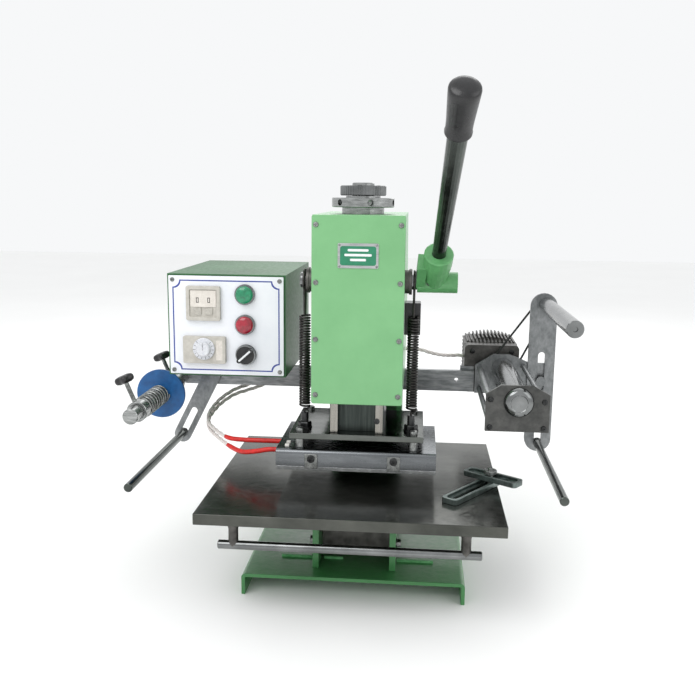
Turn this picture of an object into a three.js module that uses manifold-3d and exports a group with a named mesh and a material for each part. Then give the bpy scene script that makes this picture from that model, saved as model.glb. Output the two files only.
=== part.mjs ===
// Hand-lever hot foil stamper: a rack-and-pinion press with a heated head, a sliding table, a foil unwind shaft
// on the left and a motor-driven foil feed on the right. Millimetres, +Z up, operator at -Y.
import * as THREE from "three";
import { mergeVertices } from "three/addons/utils/BufferGeometryUtils.js";
import Module from "manifold-3d";

// ---------------------------------------------------------------- driving dimensions
const TOUCH = 0.3; // gap between faces that touch
const RUN = 0.35; // running clearance of sliding and turning fits

// base and frame cheeks
const BASE_HALF_WIDTH = 145;
const BASE_FRONT = -115;
const BASE_BACK = 240;
const BASE_HEIGHT = 29;
const BASE_SHEET = 5;
const CHEEK_THICKNESS = 8;
const CHEEK_HALF_GAP = 46.7;
const CHEEK_FRONT = -88;
const COLUMN_FRONT = 152;
const COLUMN_BACK = 236;
const FOOT_TOP = 96;
const HEAD_UNDERSIDE = 262;

// sliding table
const TABLE_HALF_WIDTH = 187;
const TABLE_FRONT = -190;
const TABLE_BACK = 143;
const TABLE_TOP = 138.5;
const TABLE_THICKNESS = 14;
const BED_HALF_WIDTH = 70;
const BED_THICKNESS = 8;
const RAIL_HALF_WIDTH = 22;
const RAIL_HEIGHT = 14;
const RAIL_LENGTH = 215;
const RUNNER_HALF_WIDTH = 40;
const RUNNER_LENGTH = 130;
const RUNNER_DROP = 14;
const PULL_BAR_RADIUS = 5.5;
const PULL_BAR_HALF_LENGTH = 159;
const PULL_BAR_DROP = 28;
const PULL_POST_RADIUS = 6;
const PULL_POST_X = 140;
const PULL_SETBACK = 12;

// head cover and casing
const COVER_HALF_WIDTH = 58.5;
const COVER_FRONT = -80;
const COVER_THICKNESS = 3;
const COVER_BOTTOM = 251;
const HEAD_TOP = 491.5;
const CASING_SHEET = 2.5;
const CASING_BOTTOM = 251;
const CASING_BACK = 242;
const CASING_SLOPE_Y = 150;
const CASING_SLOPE_Z = 400;

// lever shaft, rack and pinion
const SHAFT_Y = -50;
const SHAFT_Z = 407.5;
const SHAFT_RADIUS = 10;
const MODULE = 2;
const PINION_TEETH = 18;
const PRESSURE_ANGLE = THREE.MathUtils.degToRad(20);
const BACKLASH = 0.5;
const PINION_WIDTH = 20;
const BEARING_RADIUS = 15;
const BEARING_OUTER_X = 67.5;
const STRAP_THICKNESS = 3;
const STRAP_RADIUS = 17;
const HUB_START_X = 74;
const HUB_END_X = 125;
const HUB_RADIUS = 13.5;
const CUP_RADIUS = 18.2;
const CUP_LENGTH = 59;
const CUP_X = 96;
const LEVER_RISE = THREE.MathUtils.degToRad(42); // lever above the horizontal at rest
const LEVER_LEAN = THREE.MathUtils.degToRad(3.5); // lever leans away from the head
const LEVER_FOOT_RADIUS = 8.5;
const LEVER_TOP_RADIUS = 11;
const GRIP_START = 256;
const GRIP_LENGTH = 56;
const GRIP_FOOT_RADIUS = 13.8;
const GRIP_TOP_RADIUS = 16.6;

// ram and what it carries
const RAM_HALF_WIDTH = 35;
const RAM_FRONT = -70;
const RAM_BACK = 20;
const RAM_TOP = 380;
const STRIP_X = 29.3;
const STRIP_WIDTH = 10;
const STRIP_PROUD = 2.5;
const RACK_TOP = 446;
const RACK_FOOT = 345;
const RACK_HALF_WIDTH = 9.5;
const RACK_BACK = -75.6;
const PLATE_HALF_WIDTH = 87;
const PLATE_FRONT = -81;
const PLATE_BACK = 54;
const PLATE_TOP = 211;
const PLATE_THICKNESS = 8;
const STANDOFF_RADIUS = 6;
const STANDOFF_X = 74;
const STANDOFF_INSET = 11;
const BLOCK_HALF_WIDTH = 104;
const BLOCK_FRONT = -85;
const BLOCK_BACK = 56;
const BLOCK_TOP = 190;
const BLOCK_THICKNESS = 22;
const DIE_THICKNESS = 5.3;
const STUD_RADIUS = 5;
const STUD_HEIGHT = 21;

// return springs
const SPRING_X = 70.5;
const SPRING_RADIUS = 7.7;
const SPRING_TOP = 363;
const SPRING_BOTTOM = 239;
const HOOK_RADIUS = 2;

// pressure screw and its rings
const SCREW_Y = 0;
const SCREW_RADIUS = 14.6;
const NECK_RADIUS = 28;
const NECK_HEIGHT = 8;
const THREAD_RADIUS = 23;
const LOCK_RING_RADIUS = 41.5;
const LOCK_RING_HEIGHT = 12.3;
const TOMMY_HOLE_RADIUS = 4;
const TOMMY_HOLES = 6;
const HEIGHT_RING_RADIUS = 30.5;
const HEIGHT_RING_HEIGHT = 13;
const HEIGHT_RING_FLUTES = 12;

// cross bar and control box
const BAR_FRONT = 160;
const BAR_THICKNESS = 10;
const BAR_BOTTOM = 217;
const BAR_TOP = 249.3;
const BAR_RIGHT = 165;
const BOX_LEFT = -272;
const BOX_RIGHT = -106;
const BOX_FRONT = 13;
const BOX_BACK = 253;
const BOX_BOTTOM = 263.5;
const BOX_TOP = 406.5;
const BOX_SHEET = 2;
const PANEL_THICKNESS = 3;

// foil unwind shaft on the left
const UNWIND_X = -297;
const UNWIND_Z = 226;
const UNWIND_FRONT = -85;
const UNWIND_RADIUS = 10.5;
const REEL_RADIUS = 36;
const REEL_Y = 48;
const REEL_THICKNESS = 4;
const BRAKE_SPRING_RADIUS = 15;
const COLLAR_RADIUS = 14;
const COLLAR_Y = -50;
const COLLAR_LENGTH = 18;
const HUB_COLLAR_Y = 115;
const KNOB_TILT = THREE.MathUtils.degToRad(23);
const KNOB_RADIUS = 13.5;
const KNOB_HEIGHT = 11;
const KNOB_STEM_RADIUS = 2.5;
const KNOB_REACH = 52;

// slotted plates and guide rods
const SLOT_PLATE_THICKNESS = 5;
const LEFT_PLATE_TILT = THREE.MathUtils.degToRad(26.8);
const LEFT_PLATE_X = -247;
const LEFT_PLATE_Z = 233;
const LEFT_PLATE_LENGTH = 124;
const LEFT_PLATE_WIDTH = 27;
const RIGHT_PLATE_X = 265;
const RIGHT_PLATE_WIDTH = 40;
const RIGHT_PLATE_TOP = 374;
const RIGHT_PLATE_BOTTOM = 128;
const SLOT_WIDTH = 10.5;
const GUIDE_ROD_RADIUS = 6;
const GUIDE_ROD_FRONT = -105;
const LEFT_ROD_ALONG = 109;
const RIGHT_ROD_Z = 141;

// foil feed on the right
const FEED_LEFT = 166;
const FEED_RIGHT = 248;
const FEED_BOTTOM = 216.5;
const FEED_SHOULDER = 266;
const FEED_TOP = 278;
const FEED_FRONT = -60;
const FEED_PLATE = 5;
const FEED_ROLLER_X = 208;
const FEED_ROLLER_Z = 256;
const FEED_ROLLER_RADIUS = 17;
const NIP_ROLLER_RADIUS = 8.5;
const JOURNAL_RADIUS = 5;
const FEED_CAP_RADIUS = 19.5;
const TIE_ROD_RADIUS = 3.8;
const TAKEUP_X = 268;
const TAKEUP_Z = 357;
const TAKEUP_RADIUS = 11;
const TAKEUP_FRONT = -90;
const FEED_PULLEY_RADIUS = 20;
const TAKEUP_PULLEY_RADIUS = 10;
const PULLEY_Y = 167;
const PULLEY_WIDTH = 8;
const BELT_SIZE = 3.4;
const MOTOR_LEFT = 150;
const MOTOR_SIZE = 84;
const MOTOR_BOTTOM = 214;
const MOTOR_FRONT = 177;
const MOTOR_LENGTH = 96;

// leads
const HEATER_LEAD_RADIUS = 3;
const MOTOR_LEAD_RADIUS = 3;

// ---------------------------------------------------------------- geometry helpers
const wasm = await Module();
wasm.setup();

function solidOf(geometry) {
  const bare = geometry.index ? geometry.toNonIndexed() : geometry.clone();
  for (const name of Object.keys(bare.attributes)) {
    if (name !== "position") bare.deleteAttribute(name);
  }
  const merged = mergeVertices(bare, 1e-4);
  return new wasm.Manifold(
    new wasm.Mesh({
      numProp: 3,
      vertProperties: new Float32Array(merged.attributes.position.array),
      triVerts: new Uint32Array(merged.index.array),
    }),
  );
}

function geometryOf(solid) {
  const mesh = solid.getMesh();
  const geometry = new THREE.BufferGeometry();
  geometry.setAttribute("position", new THREE.BufferAttribute(mesh.vertProperties.slice(), 3));
  geometry.setIndex(new THREE.BufferAttribute(mesh.triVerts.slice(), 1));
  return geometry;
}

function joined(...geometries) {
  return geometryOf(geometries.map(solidOf).reduce((sum, next) => sum.add(next)));
}

function cut(geometry, ...tools) {
  return geometryOf(tools.map(solidOf).reduce((rest, tool) => rest.subtract(tool), solidOf(geometry)));
}

// A box between two corners.
function block(x0, x1, y0, y1, z0, z1) {
  const geometry = new THREE.BoxGeometry(x1 - x0, y1 - y0, z1 - z0);
  return geometry.translate((x0 + x1) / 2, (y0 + y1) / 2, (z0 + z1) / 2);
}

// A solid of revolution about +Z: a profile of [radius, height] pairs that starts and ends on the axis.
function turned(profile, sides = 20) {
  return new THREE.LatheGeometry(
    profile.map(([radius, height]) => new THREE.Vector2(radius, height)),
    sides,
  ).rotateX(Math.PI / 2);
}

// A ring about +Z with a round hole.
function ring(inner, outer, z0, z1, sides = 20) {
  return turned([[inner, z0], [outer, z0], [outer, z1], [inner, z1], [inner, z0]], sides);
}

// A round bar about +Z.
function bar(radius, z0, z1, sides = 16) {
  return turned([[0, z0], [radius, z0], [radius, z1], [0, z1]], sides);
}

const alongX = (geometry, y, z) => geometry.rotateY(Math.PI / 2).translate(0, y, z);
const alongY = (geometry, x, z) => geometry.rotateX(-Math.PI / 2).translate(x, 0, z);

// An outline in the XZ plane, extruded from y0 to y1.
function plateXZ(shape, y0, y1, curveSegments = 2) {
  const geometry = new THREE.ExtrudeGeometry(shape, { depth: y1 - y0, bevelEnabled: false, curveSegments });
  return geometry.rotateX(Math.PI / 2).translate(0, y1, 0);
}

// An outline in the YZ plane, extruded from x0 to x1.
function plateYZ(points, x0, x1) {
  const shape = new THREE.Shape(points.map(([y, z]) => new THREE.Vector2(y, z)));
  const geometry = new THREE.ExtrudeGeometry(shape, { depth: x1 - x0, bevelEnabled: false });
  return geometry.rotateY(Math.PI / 2).rotateX(Math.PI / 2).translate(x0, 0, 0);
}

// An outline in the XY plane, extruded from z0 to z1.
function plateXY(points, z0, z1) {
  const shape = new THREE.Shape(points.map(([x, y]) => new THREE.Vector2(x, y)));
  const geometry = new THREE.ExtrudeGeometry(shape, { depth: z1 - z0, bevelEnabled: false });
  return geometry.translate(0, 0, z0);
}

// A straight slot with round ends, or the plate outline of the same form, from a to b.
function stadium(ax, ay, bx, by, radius) {
  const angle = Math.atan2(by - ay, bx - ax);
  const shape = new THREE.Shape();
  shape.absarc(bx, by, radius, angle - Math.PI / 2, angle + Math.PI / 2, false);
  shape.absarc(ax, ay, radius, angle + Math.PI / 2, angle + (3 * Math.PI) / 2, false);
  return shape;
}

function roundedRectangle(x0, x1, z0, z1, radius) {
  const shape = new THREE.Shape();
  shape.moveTo(x0 + radius, z0);
  shape.lineTo(x1 - radius, z0);
  shape.absarc(x1 - radius, z0 + radius, radius, -Math.PI / 2, 0, false);
  shape.absarc(x1 - radius, z1 - radius, radius, 0, Math.PI / 2, false);
  shape.absarc(x0 + radius, z1 - radius, radius, Math.PI / 2, Math.PI, false);
  shape.absarc(x0 + radius, z0 + radius, radius, Math.PI, 1.5 * Math.PI, false);
  return shape;
}

// A plain tube along a smooth curve through hand-set points.
function tubeAlong(points, radius, sides, steps) {
  const curve = new THREE.CatmullRomCurve3(points.map((p) => new THREE.Vector3(...p)));
  const corners = Array.from({ length: sides }, (_, i) => {
    const angle = (i * 2 * Math.PI) / sides;
    return new THREE.Vector2(radius * Math.cos(angle), radius * Math.sin(angle));
  });
  return new THREE.ExtrudeGeometry(new THREE.Shape(corners), { extrudePath: curve, steps, bevelEnabled: false });
}

const stamper = new THREE.Group();

function add(group, name, geometry, color, roughness, metalness) {
  const material = new THREE.MeshStandardMaterial({ color, roughness, metalness });
  const mesh = new THREE.Mesh(geometry, material);
  mesh.name = name;
  group.add(mesh);
  return mesh;
}

const GREEN = 0x7cc080;
const DARK_GREEN = 0x3a7a45;
const STEEL = 0xa8a9a8;
const DARK_STEEL = 0x4a4a48;
const BRIGHT_STEEL = 0xc8c8c6;
const BLACK = 0x1c1c1d;

// ---------------------------------------------------------------- base and frame
const webOuterX = CHEEK_HALF_GAP + CHEEK_THICKNESS;
const basePlateUnder = BASE_HEIGHT - BASE_SHEET;

add(stamper, "base_plate", joined(
  block(-BASE_HALF_WIDTH, BASE_HALF_WIDTH, BASE_FRONT, BASE_BACK, basePlateUnder, BASE_HEIGHT),
  block(-BASE_HALF_WIDTH, -BASE_HALF_WIDTH + BASE_SHEET, BASE_FRONT, BASE_BACK, 0, BASE_HEIGHT),
  block(BASE_HALF_WIDTH - BASE_SHEET, BASE_HALF_WIDTH, BASE_FRONT, BASE_BACK, 0, BASE_HEIGHT),
), DARK_GREEN, 0.5, 0);

// Each cheek is a C-shaped plate: a foot under the table, a column behind it and an arm above.
const barWindow = block(
  -100, 100,
  BAR_FRONT - TOUCH, BAR_FRONT + BAR_THICKNESS + TOUCH,
  BAR_BOTTOM - TOUCH, BAR_TOP + TOUCH,
);
const cheekInset = CASING_SHEET + 2 * TOUCH;
const armTop = HEAD_TOP - cheekInset;
const armFront = COVER_FRONT + COVER_THICKNESS + 7;
const cheekOutline = [
  [CHEEK_FRONT, BASE_HEIGHT + TOUCH],
  [COLUMN_BACK, BASE_HEIGHT + TOUCH],
  [COLUMN_BACK, CASING_SLOPE_Z - cheekInset],
  [CASING_SLOPE_Y - cheekInset, armTop],
  [armFront, armTop],
  [armFront, HEAD_UNDERSIDE],
  [COLUMN_FRONT, HEAD_UNDERSIDE],
  [COLUMN_FRONT, FOOT_TOP],
  [CHEEK_FRONT, FOOT_TOP],
];
const bearingBore = (inner) => alongX(bar(inner, -100, 100, 24), SHAFT_Y, SHAFT_Z);
for (const [name, side] of [["frame_cheek_left", -1], ["frame_cheek_right", 1]]) {
  const inner = side * CHEEK_HALF_GAP;
  const outer = side * webOuterX;
  const plate = plateYZ(cheekOutline, Math.min(inner, outer), Math.max(inner, outer));
  add(stamper, name, cut(plate, barWindow, bearingBore(BEARING_RADIUS + TOUCH)), DARK_GREEN, 0.5, 0);
}

const spanHalf = CHEEK_HALF_GAP - TOUCH;
add(stamper, "column_back_plate",
  block(-spanHalf, spanHalf, COLUMN_BACK - 6, COLUMN_BACK, BASE_HEIGHT + TOUCH, CASING_SLOPE_Z - 12),
  DARK_GREEN, 0.5, 0);

// The bed carries one flat rail; the runner under the table wraps round it.
const bedUnder = FOOT_TOP + TOUCH;
const bedTop = bedUnder + BED_THICKNESS;
const railTop = bedTop + RAIL_HEIGHT;
const railFront = CHEEK_FRONT + 3;
add(stamper, "table_bed", joined(
  block(-BED_HALF_WIDTH, BED_HALF_WIDTH, railFront, railFront + RAIL_LENGTH, bedUnder, bedTop),
  block(-RAIL_HALF_WIDTH, RAIL_HALF_WIDTH, railFront, railFront + RAIL_LENGTH, bedTop - 1, railTop),
  block(-spanHalf, spanHalf, railFront + 45, railFront + 51, BASE_HEIGHT + TOUCH, bedUnder + 1),
), DARK_STEEL, 0.45, 0.8);

// ---------------------------------------------------------------- head casing
const casingInner = COVER_HALF_WIDTH - CASING_SHEET - 0.7;
const casingOuter = COVER_HALF_WIDTH - 0.7;
const casingFront = COVER_FRONT + COVER_THICKNESS + TOUCH;
function casingOutline(inset, bottom) {
  return [
    [casingFront - (inset ? 20 : 0), bottom],
    [CASING_BACK - inset, bottom],
    [CASING_BACK - inset, CASING_SLOPE_Z - inset * 0.5],
    [CASING_SLOPE_Y - inset * 0.5, HEAD_TOP - inset],
    [casingFront - (inset ? 20 : 0), HEAD_TOP - inset],
  ];
}
const neckBore = bar(THREAD_RADIUS + TOUCH, HEAD_TOP - 30, HEAD_TOP + 5, 32).translate(0, SCREW_Y, 0);
add(stamper, "head_casing", cut(
  plateYZ(casingOutline(0, CASING_BOTTOM), -casingOuter, casingOuter),
  plateYZ(casingOutline(CASING_SHEET, CASING_BOTTOM - 20), -casingInner, casingInner),
  bearingBore(BEARING_RADIUS + TOUCH),
  neckBore,
), GREEN, 0.42, 0);

add(stamper, "front_cover", plateXZ(
  roundedRectangle(-COVER_HALF_WIDTH, COVER_HALF_WIDTH, COVER_BOTTOM, HEAD_TOP, 3),
  COVER_FRONT, COVER_FRONT + COVER_THICKNESS,
), GREEN, 0.4, 0);

// ---------------------------------------------------------------- ram guide
const guideInner = RAM_HALF_WIDTH + RUN;
const lipBack = RAM_FRONT - STRIP_PROUD - RUN;
const lipFront = casingFront + TOUCH;
const lipInner = STRIP_X - STRIP_WIDTH / 2 + 2;
add(stamper, "ram_guide", plateXY([
  [-spanHalf, lipFront], [-lipInner, lipFront], [-lipInner, lipBack], [-guideInner, lipBack],
  [-guideInner, RAM_BACK + RUN], [guideInner, RAM_BACK + RUN], [guideInner, lipBack], [lipInner, lipBack],
  [lipInner, lipFront], [spanHalf, lipFront], [spanHalf, RAM_BACK + 14], [-spanHalf, RAM_BACK + 14],
], HEAD_UNDERSIDE + 2, 372), DARK_STEEL, 0.5, 0.8);

// ---------------------------------------------------------------- pressure screw, neck and rings
const neckTop = HEAD_TOP + TOUCH + NECK_HEIGHT;
const lockRingTop = neckTop + TOUCH + LOCK_RING_HEIGHT;
const threadTop = lockRingTop + 2.4;
const neck = cut(
  turned([
    [0, HEAD_TOP - 24], [THREAD_RADIUS, HEAD_TOP - 24], [THREAD_RADIUS, HEAD_TOP + TOUCH],
    [NECK_RADIUS, HEAD_TOP + TOUCH], [NECK_RADIUS, neckTop], [THREAD_RADIUS, neckTop],
    [THREAD_RADIUS, threadTop], [0, threadTop],
  ], 32),
  bar(SCREW_RADIUS + RUN, HEAD_TOP - 40, threadTop + 10, 24),
);
add(stamper, "top_neck", neck.translate(0, SCREW_Y, 0), STEEL, 0.3, 1);

const lockRing = new THREE.Group();
stamper.add(lockRing);
const tommyHoles = Array.from({ length: TOMMY_HOLES }, (_, i) => {
  const hole = bar(TOMMY_HOLE_RADIUS, LOCK_RING_RADIUS - 11, LOCK_RING_RADIUS + 5, 8);
  const azimuth = THREE.MathUtils.degToRad(-73) + (i * 2 * Math.PI) / TOMMY_HOLES;
  return hole.rotateY(Math.PI / 2).rotateZ(azimuth).translate(0, 0, neckTop + TOUCH + LOCK_RING_HEIGHT / 2);
});
const bevel = 1.6;
add(lockRing, "lock_ring", cut(
  turned([
    [THREAD_RADIUS + RUN, neckTop + TOUCH], [LOCK_RING_RADIUS - bevel, neckTop + TOUCH],
    [LOCK_RING_RADIUS, neckTop + TOUCH + bevel], [LOCK_RING_RADIUS, lockRingTop - bevel],
    [LOCK_RING_RADIUS - bevel, lockRingTop], [THREAD_RADIUS + RUN, lockRingTop],
    [THREAD_RADIUS + RUN, neckTop + TOUCH],
  ], 30),
  ...tommyHoles,
).translate(0, SCREW_Y, 0), STEEL, 0.3, 1);

// The fluted height ring is pinned to the screw, whose lower end is the ram's upper stop.
const heightRingBottom = threadTop + TOUCH;
const heightRingTop = heightRingBottom + HEIGHT_RING_HEIGHT;
const flutes = Array.from({ length: HEIGHT_RING_FLUTES }, (_, i) => {
  const angle = (i * 2 * Math.PI) / HEIGHT_RING_FLUTES;
  const reach = HEIGHT_RING_RADIUS + 0.6;
  return bar(2.2, heightRingBottom - 1, heightRingTop + 1, 6)
    .translate(reach * Math.cos(angle), reach * Math.sin(angle), 0);
});
add(stamper, "height_screw", cut(
  joined(
    turned([
      [0, heightRingBottom], [HEIGHT_RING_RADIUS - 1, heightRingBottom],
      [HEIGHT_RING_RADIUS, heightRingBottom + 1], [HEIGHT_RING_RADIUS, heightRingTop - 1],
      [HEIGHT_RING_RADIUS - 1, heightRingTop], [0, heightRingTop],
    ], 32),
    bar(SCREW_RADIUS, RAM_TOP + TOUCH, heightRingTop + 3.8, 24),
  ),
  ...flutes,
).translate(0, SCREW_Y, 0), STEEL, 0.3, 1);

// ---------------------------------------------------------------- shaft, bearings, pinion
const shaftBore = (clearance) => alongX(bar(SHAFT_RADIUS + clearance, -200, 200, 24), SHAFT_Y, SHAFT_Z);
for (const [name, side] of [["bearing_left", -1], ["bearing_right", 1]]) {
  const bush = turned([
    [0, CHEEK_HALF_GAP], [BEARING_RADIUS, CHEEK_HALF_GAP], [BEARING_RADIUS, casingOuter + 1],
    [BEARING_RADIUS + 1.5, casingOuter + 1], [BEARING_RADIUS + 1.5, casingOuter + 5],
    [BEARING_RADIUS, casingOuter + 5], [BEARING_RADIUS, BEARING_OUTER_X], [0, BEARING_OUTER_X],
  ]);
  const placed = alongX(bush, 0, 0).scale(side, 1, 1);
  if (side < 0) flipFaces(placed);
  add(stamper, name, cut(placed.translate(0, SHAFT_Y, SHAFT_Z), shaftBore(RUN)), BRIGHT_STEEL, 0.25, 1);
}

// A mirrored geometry needs its triangles wound the other way.
function flipFaces(geometry) {
  const index = geometry.index.array;
  for (let i = 0; i < index.length; i += 3) {
    [index[i], index[i + 1]] = [index[i + 1], index[i]];
  }
}

const leverBody = new THREE.Group();
stamper.add(leverBody);
add(leverBody, "lever_shaft", alongX(bar(SHAFT_RADIUS, -76, HUB_END_X - 4, 24), SHAFT_Y, SHAFT_Z), STEEL, 0.3, 1);

// Involute pinion: the outline of one tooth, repeated round the pitch circle.
const pitchRadius = (MODULE * PINION_TEETH) / 2;
const baseRadius = pitchRadius * Math.cos(PRESSURE_ANGLE);
const tipRadius = pitchRadius + MODULE;
const rootRadius = pitchRadius - 1.25 * MODULE;
const involute = (radius) => {
  const pressure = Math.acos(Math.min(1, baseRadius / radius));
  return Math.tan(pressure) - pressure;
};
const halfTooth = (MODULE * Math.PI / 2 - BACKLASH / 2) / (2 * pitchRadius);
function flankAngle(radius) {
  return halfTooth + involute(pitchRadius) - involute(Math.max(radius, baseRadius));
}
const flankSteps = 3;
const pinionOutline = [];
for (let tooth = 0; tooth < PINION_TEETH; tooth += 1) {
  const middle = Math.PI + (tooth * 2 * Math.PI) / PINION_TEETH;
  for (let step = 0; step <= flankSteps; step += 1) {
    const radius = rootRadius + ((tipRadius - rootRadius) * step) / flankSteps;
    const angle = middle - flankAngle(radius);
    pinionOutline.push([radius * Math.cos(angle), radius * Math.sin(angle)]);
  }
  for (let step = flankSteps; step >= 0; step -= 1) {
    const radius = rootRadius + ((tipRadius - rootRadius) * step) / flankSteps;
    const angle = middle + flankAngle(radius);
    pinionOutline.push([radius * Math.cos(angle), radius * Math.sin(angle)]);
  }
}
add(leverBody, "pinion", cut(
  plateYZ(pinionOutline, -PINION_WIDTH / 2, PINION_WIDTH / 2).translate(0, SHAFT_Y, SHAFT_Z),
  shaftBore(TOUCH),
), STEEL, 0.4, 1);

// ---------------------------------------------------------------- lever hub, lever and grip
// Everything on the lever's own axis is made along +Z, then tilted about the shaft axis.
function onLever(geometry) {
  return geometry
    .rotateY(LEVER_LEAN)
    .rotateX(Math.PI / 2 - LEVER_RISE)
    .translate(CUP_X, SHAFT_Y, SHAFT_Z);
}
const cup = onLever(turned([
  [0, -9.5], [6, -8.6], [11, -3], [13.8, 6], [CUP_RADIUS - 0.8, 36], [CUP_RADIUS, 44],
  [CUP_RADIUS, CUP_LENGTH - 1.5], [CUP_RADIUS - 1.5, CUP_LENGTH], [0, CUP_LENGTH],
]));
const clampLug = onLever(block(-24, -13, -12, 12, 0, 41));
const leverSocket = onLever(bar(LEVER_FOOT_RADIUS + TOUCH, 22, CUP_LENGTH + 8));
add(leverBody, "lever_hub", cut(
  joined(alongX(bar(HUB_RADIUS, HUB_START_X, HUB_END_X, 24), SHAFT_Y, SHAFT_Z), cup, clampLug),
  shaftBore(TOUCH),
  leverSocket,
), GREEN, 0.45, 0);

const leverTopLength = GRIP_START + GRIP_LENGTH - 8;
add(leverBody, "lever_rod", onLever(turned([
  [0, 22 + TOUCH], [LEVER_FOOT_RADIUS, 22 + TOUCH], [LEVER_FOOT_RADIUS, CUP_LENGTH + 4],
  [LEVER_TOP_RADIUS, GRIP_START], [LEVER_TOP_RADIUS, leverTopLength], [0, leverTopLength],
])), DARK_STEEL, 0.3, 0.9);

const gripTop = GRIP_START + GRIP_LENGTH;
add(leverBody, "lever_grip", cut(
  onLever(turned([
    [0, GRIP_START], [GRIP_FOOT_RADIUS - 1.5, GRIP_START], [GRIP_FOOT_RADIUS, GRIP_START + 3],
    [GRIP_TOP_RADIUS, gripTop - 3], [GRIP_TOP_RADIUS - 1.2, gripTop + 2],
    [GRIP_TOP_RADIUS * 0.7, gripTop + 5.5], [GRIP_TOP_RADIUS * 0.35, gripTop + 7], [0, gripTop + 7.4],
  ])),
  onLever(bar(LEVER_TOP_RADIUS + TOUCH, GRIP_START - 10, leverTopLength + TOUCH)),
), BLACK, 0.55, 0);

// ---------------------------------------------------------------- ram, rack and heated head
const recessHalf = STRIP_X - STRIP_WIDTH / 2;
const ram = joined(
  block(-RAM_HALF_WIDTH, RAM_HALF_WIDTH, RAM_FRONT, RAM_BACK, PLATE_TOP + TOUCH, RAM_TOP),
  ...[-1, 1].map((side) => block(
    side * STRIP_X - STRIP_WIDTH / 2, side * STRIP_X + STRIP_WIDTH / 2,
    RAM_FRONT - STRIP_PROUD, RAM_FRONT + 1, PLATE_TOP + TOUCH, RAM_TOP,
  )),
);
const ramRecess = block(
  -recessHalf, recessHalf, RAM_FRONT - 5, RAM_FRONT + 8, PLATE_TOP - 1, RAM_TOP + 5,
);
const ramHollow = block(
  -RAM_HALF_WIDTH + 9, RAM_HALF_WIDTH - 9, RAM_FRONT + 17, RAM_BACK - 9, PLATE_TOP - 1, RAM_TOP - 14,
);
add(stamper, "ram", cut(ram, ramRecess, ramHollow), STEEL, 0.35, 1);

// Straight-sided rack teeth, in mesh with the pinion at its pitch line.
const circularPitch = Math.PI * MODULE;
const pitchLine = SHAFT_Y - pitchRadius;
const rackRoot = pitchLine - 1.25 * MODULE;
const rackTip = pitchLine + MODULE;
const halfSpace = circularPitch / 4 - BACKLASH / 4;
const slope = Math.tan(PRESSURE_ANGLE);
const rackFootBack = RAM_FRONT + 8 - TOUCH;
const rackOutline = [[RACK_BACK, RACK_TOP], [RACK_BACK, RACK_FOOT], [rackFootBack, RACK_FOOT]];
rackOutline.push([rackFootBack, RAM_TOP - 1], [rackRoot, RAM_TOP - 1]);
const firstTooth = Math.ceil((RAM_TOP + 3 - SHAFT_Z) / circularPitch - 0.5);
const lastTooth = Math.floor((RACK_TOP - 3 - SHAFT_Z) / circularPitch - 0.5);
for (let tooth = firstTooth; tooth <= lastTooth; tooth += 1) {
  const middle = SHAFT_Z + (tooth + 0.5) * circularPitch;
  rackOutline.push(
    [rackRoot, middle - halfSpace - (pitchLine - rackRoot) * slope],
    [rackTip, middle - halfSpace + (rackTip - pitchLine) * slope],
    [rackTip, middle + halfSpace - (rackTip - pitchLine) * slope],
    [rackRoot, middle + halfSpace + (pitchLine - rackRoot) * slope],
  );
}
rackOutline.push([rackRoot, RACK_TOP]);
add(stamper, "ram_rack", plateYZ(rackOutline, -RACK_HALF_WIDTH, RACK_HALF_WIDTH), STEEL, 0.4, 1);

const plateUnder = PLATE_TOP - PLATE_THICKNESS;
const standoffs = [];
for (const x of [-STANDOFF_X, STANDOFF_X]) {
  for (const y of [PLATE_FRONT + STANDOFF_INSET, PLATE_BACK - STANDOFF_INSET]) {
    standoffs.push(bar(STANDOFF_RADIUS, BLOCK_TOP + TOUCH, plateUnder + 1, 12).translate(x, y, 0));
  }
}
const springStuds = [-SPRING_X, SPRING_X].map((x) =>
  turned([
    [0, PLATE_TOP - 1], [STUD_RADIUS + 2.5, PLATE_TOP - 1], [STUD_RADIUS + 2.5, PLATE_TOP + 4],
    [STUD_RADIUS, PLATE_TOP + 4], [STUD_RADIUS, PLATE_TOP + STUD_HEIGHT], [0, PLATE_TOP + STUD_HEIGHT],
  ], 12).translate(x, SHAFT_Y, 0));
add(stamper, "mounting_plate", joined(
  block(-PLATE_HALF_WIDTH, PLATE_HALF_WIDTH, PLATE_FRONT, PLATE_BACK, plateUnder, PLATE_TOP),
  ...standoffs,
  ...springStuds,
), STEEL, 0.22, 1);

const blockUnder = BLOCK_TOP - BLOCK_THICKNESS;
const heaterBores = [-52, -14, 24].map((y) =>
  alongX(bar(5.2, -BLOCK_HALF_WIDTH - 2, -BLOCK_HALF_WIDTH + 40, 12), y, BLOCK_TOP - BLOCK_THICKNESS / 2));
add(stamper, "heating_block", cut(
  block(-BLOCK_HALF_WIDTH, BLOCK_HALF_WIDTH, BLOCK_FRONT, BLOCK_BACK, blockUnder, BLOCK_TOP),
  ...heaterBores,
), STEEL, 0.3, 1);
add(stamper, "die_plate", block(
  -BLOCK_HALF_WIDTH + 1, BLOCK_HALF_WIDTH, BLOCK_FRONT + 0.5, BLOCK_BACK - 2,
  blockUnder - TOUCH - DIE_THICKNESS, blockUnder - TOUCH,
), BRIGHT_STEEL, 0.2, 1);

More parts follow.
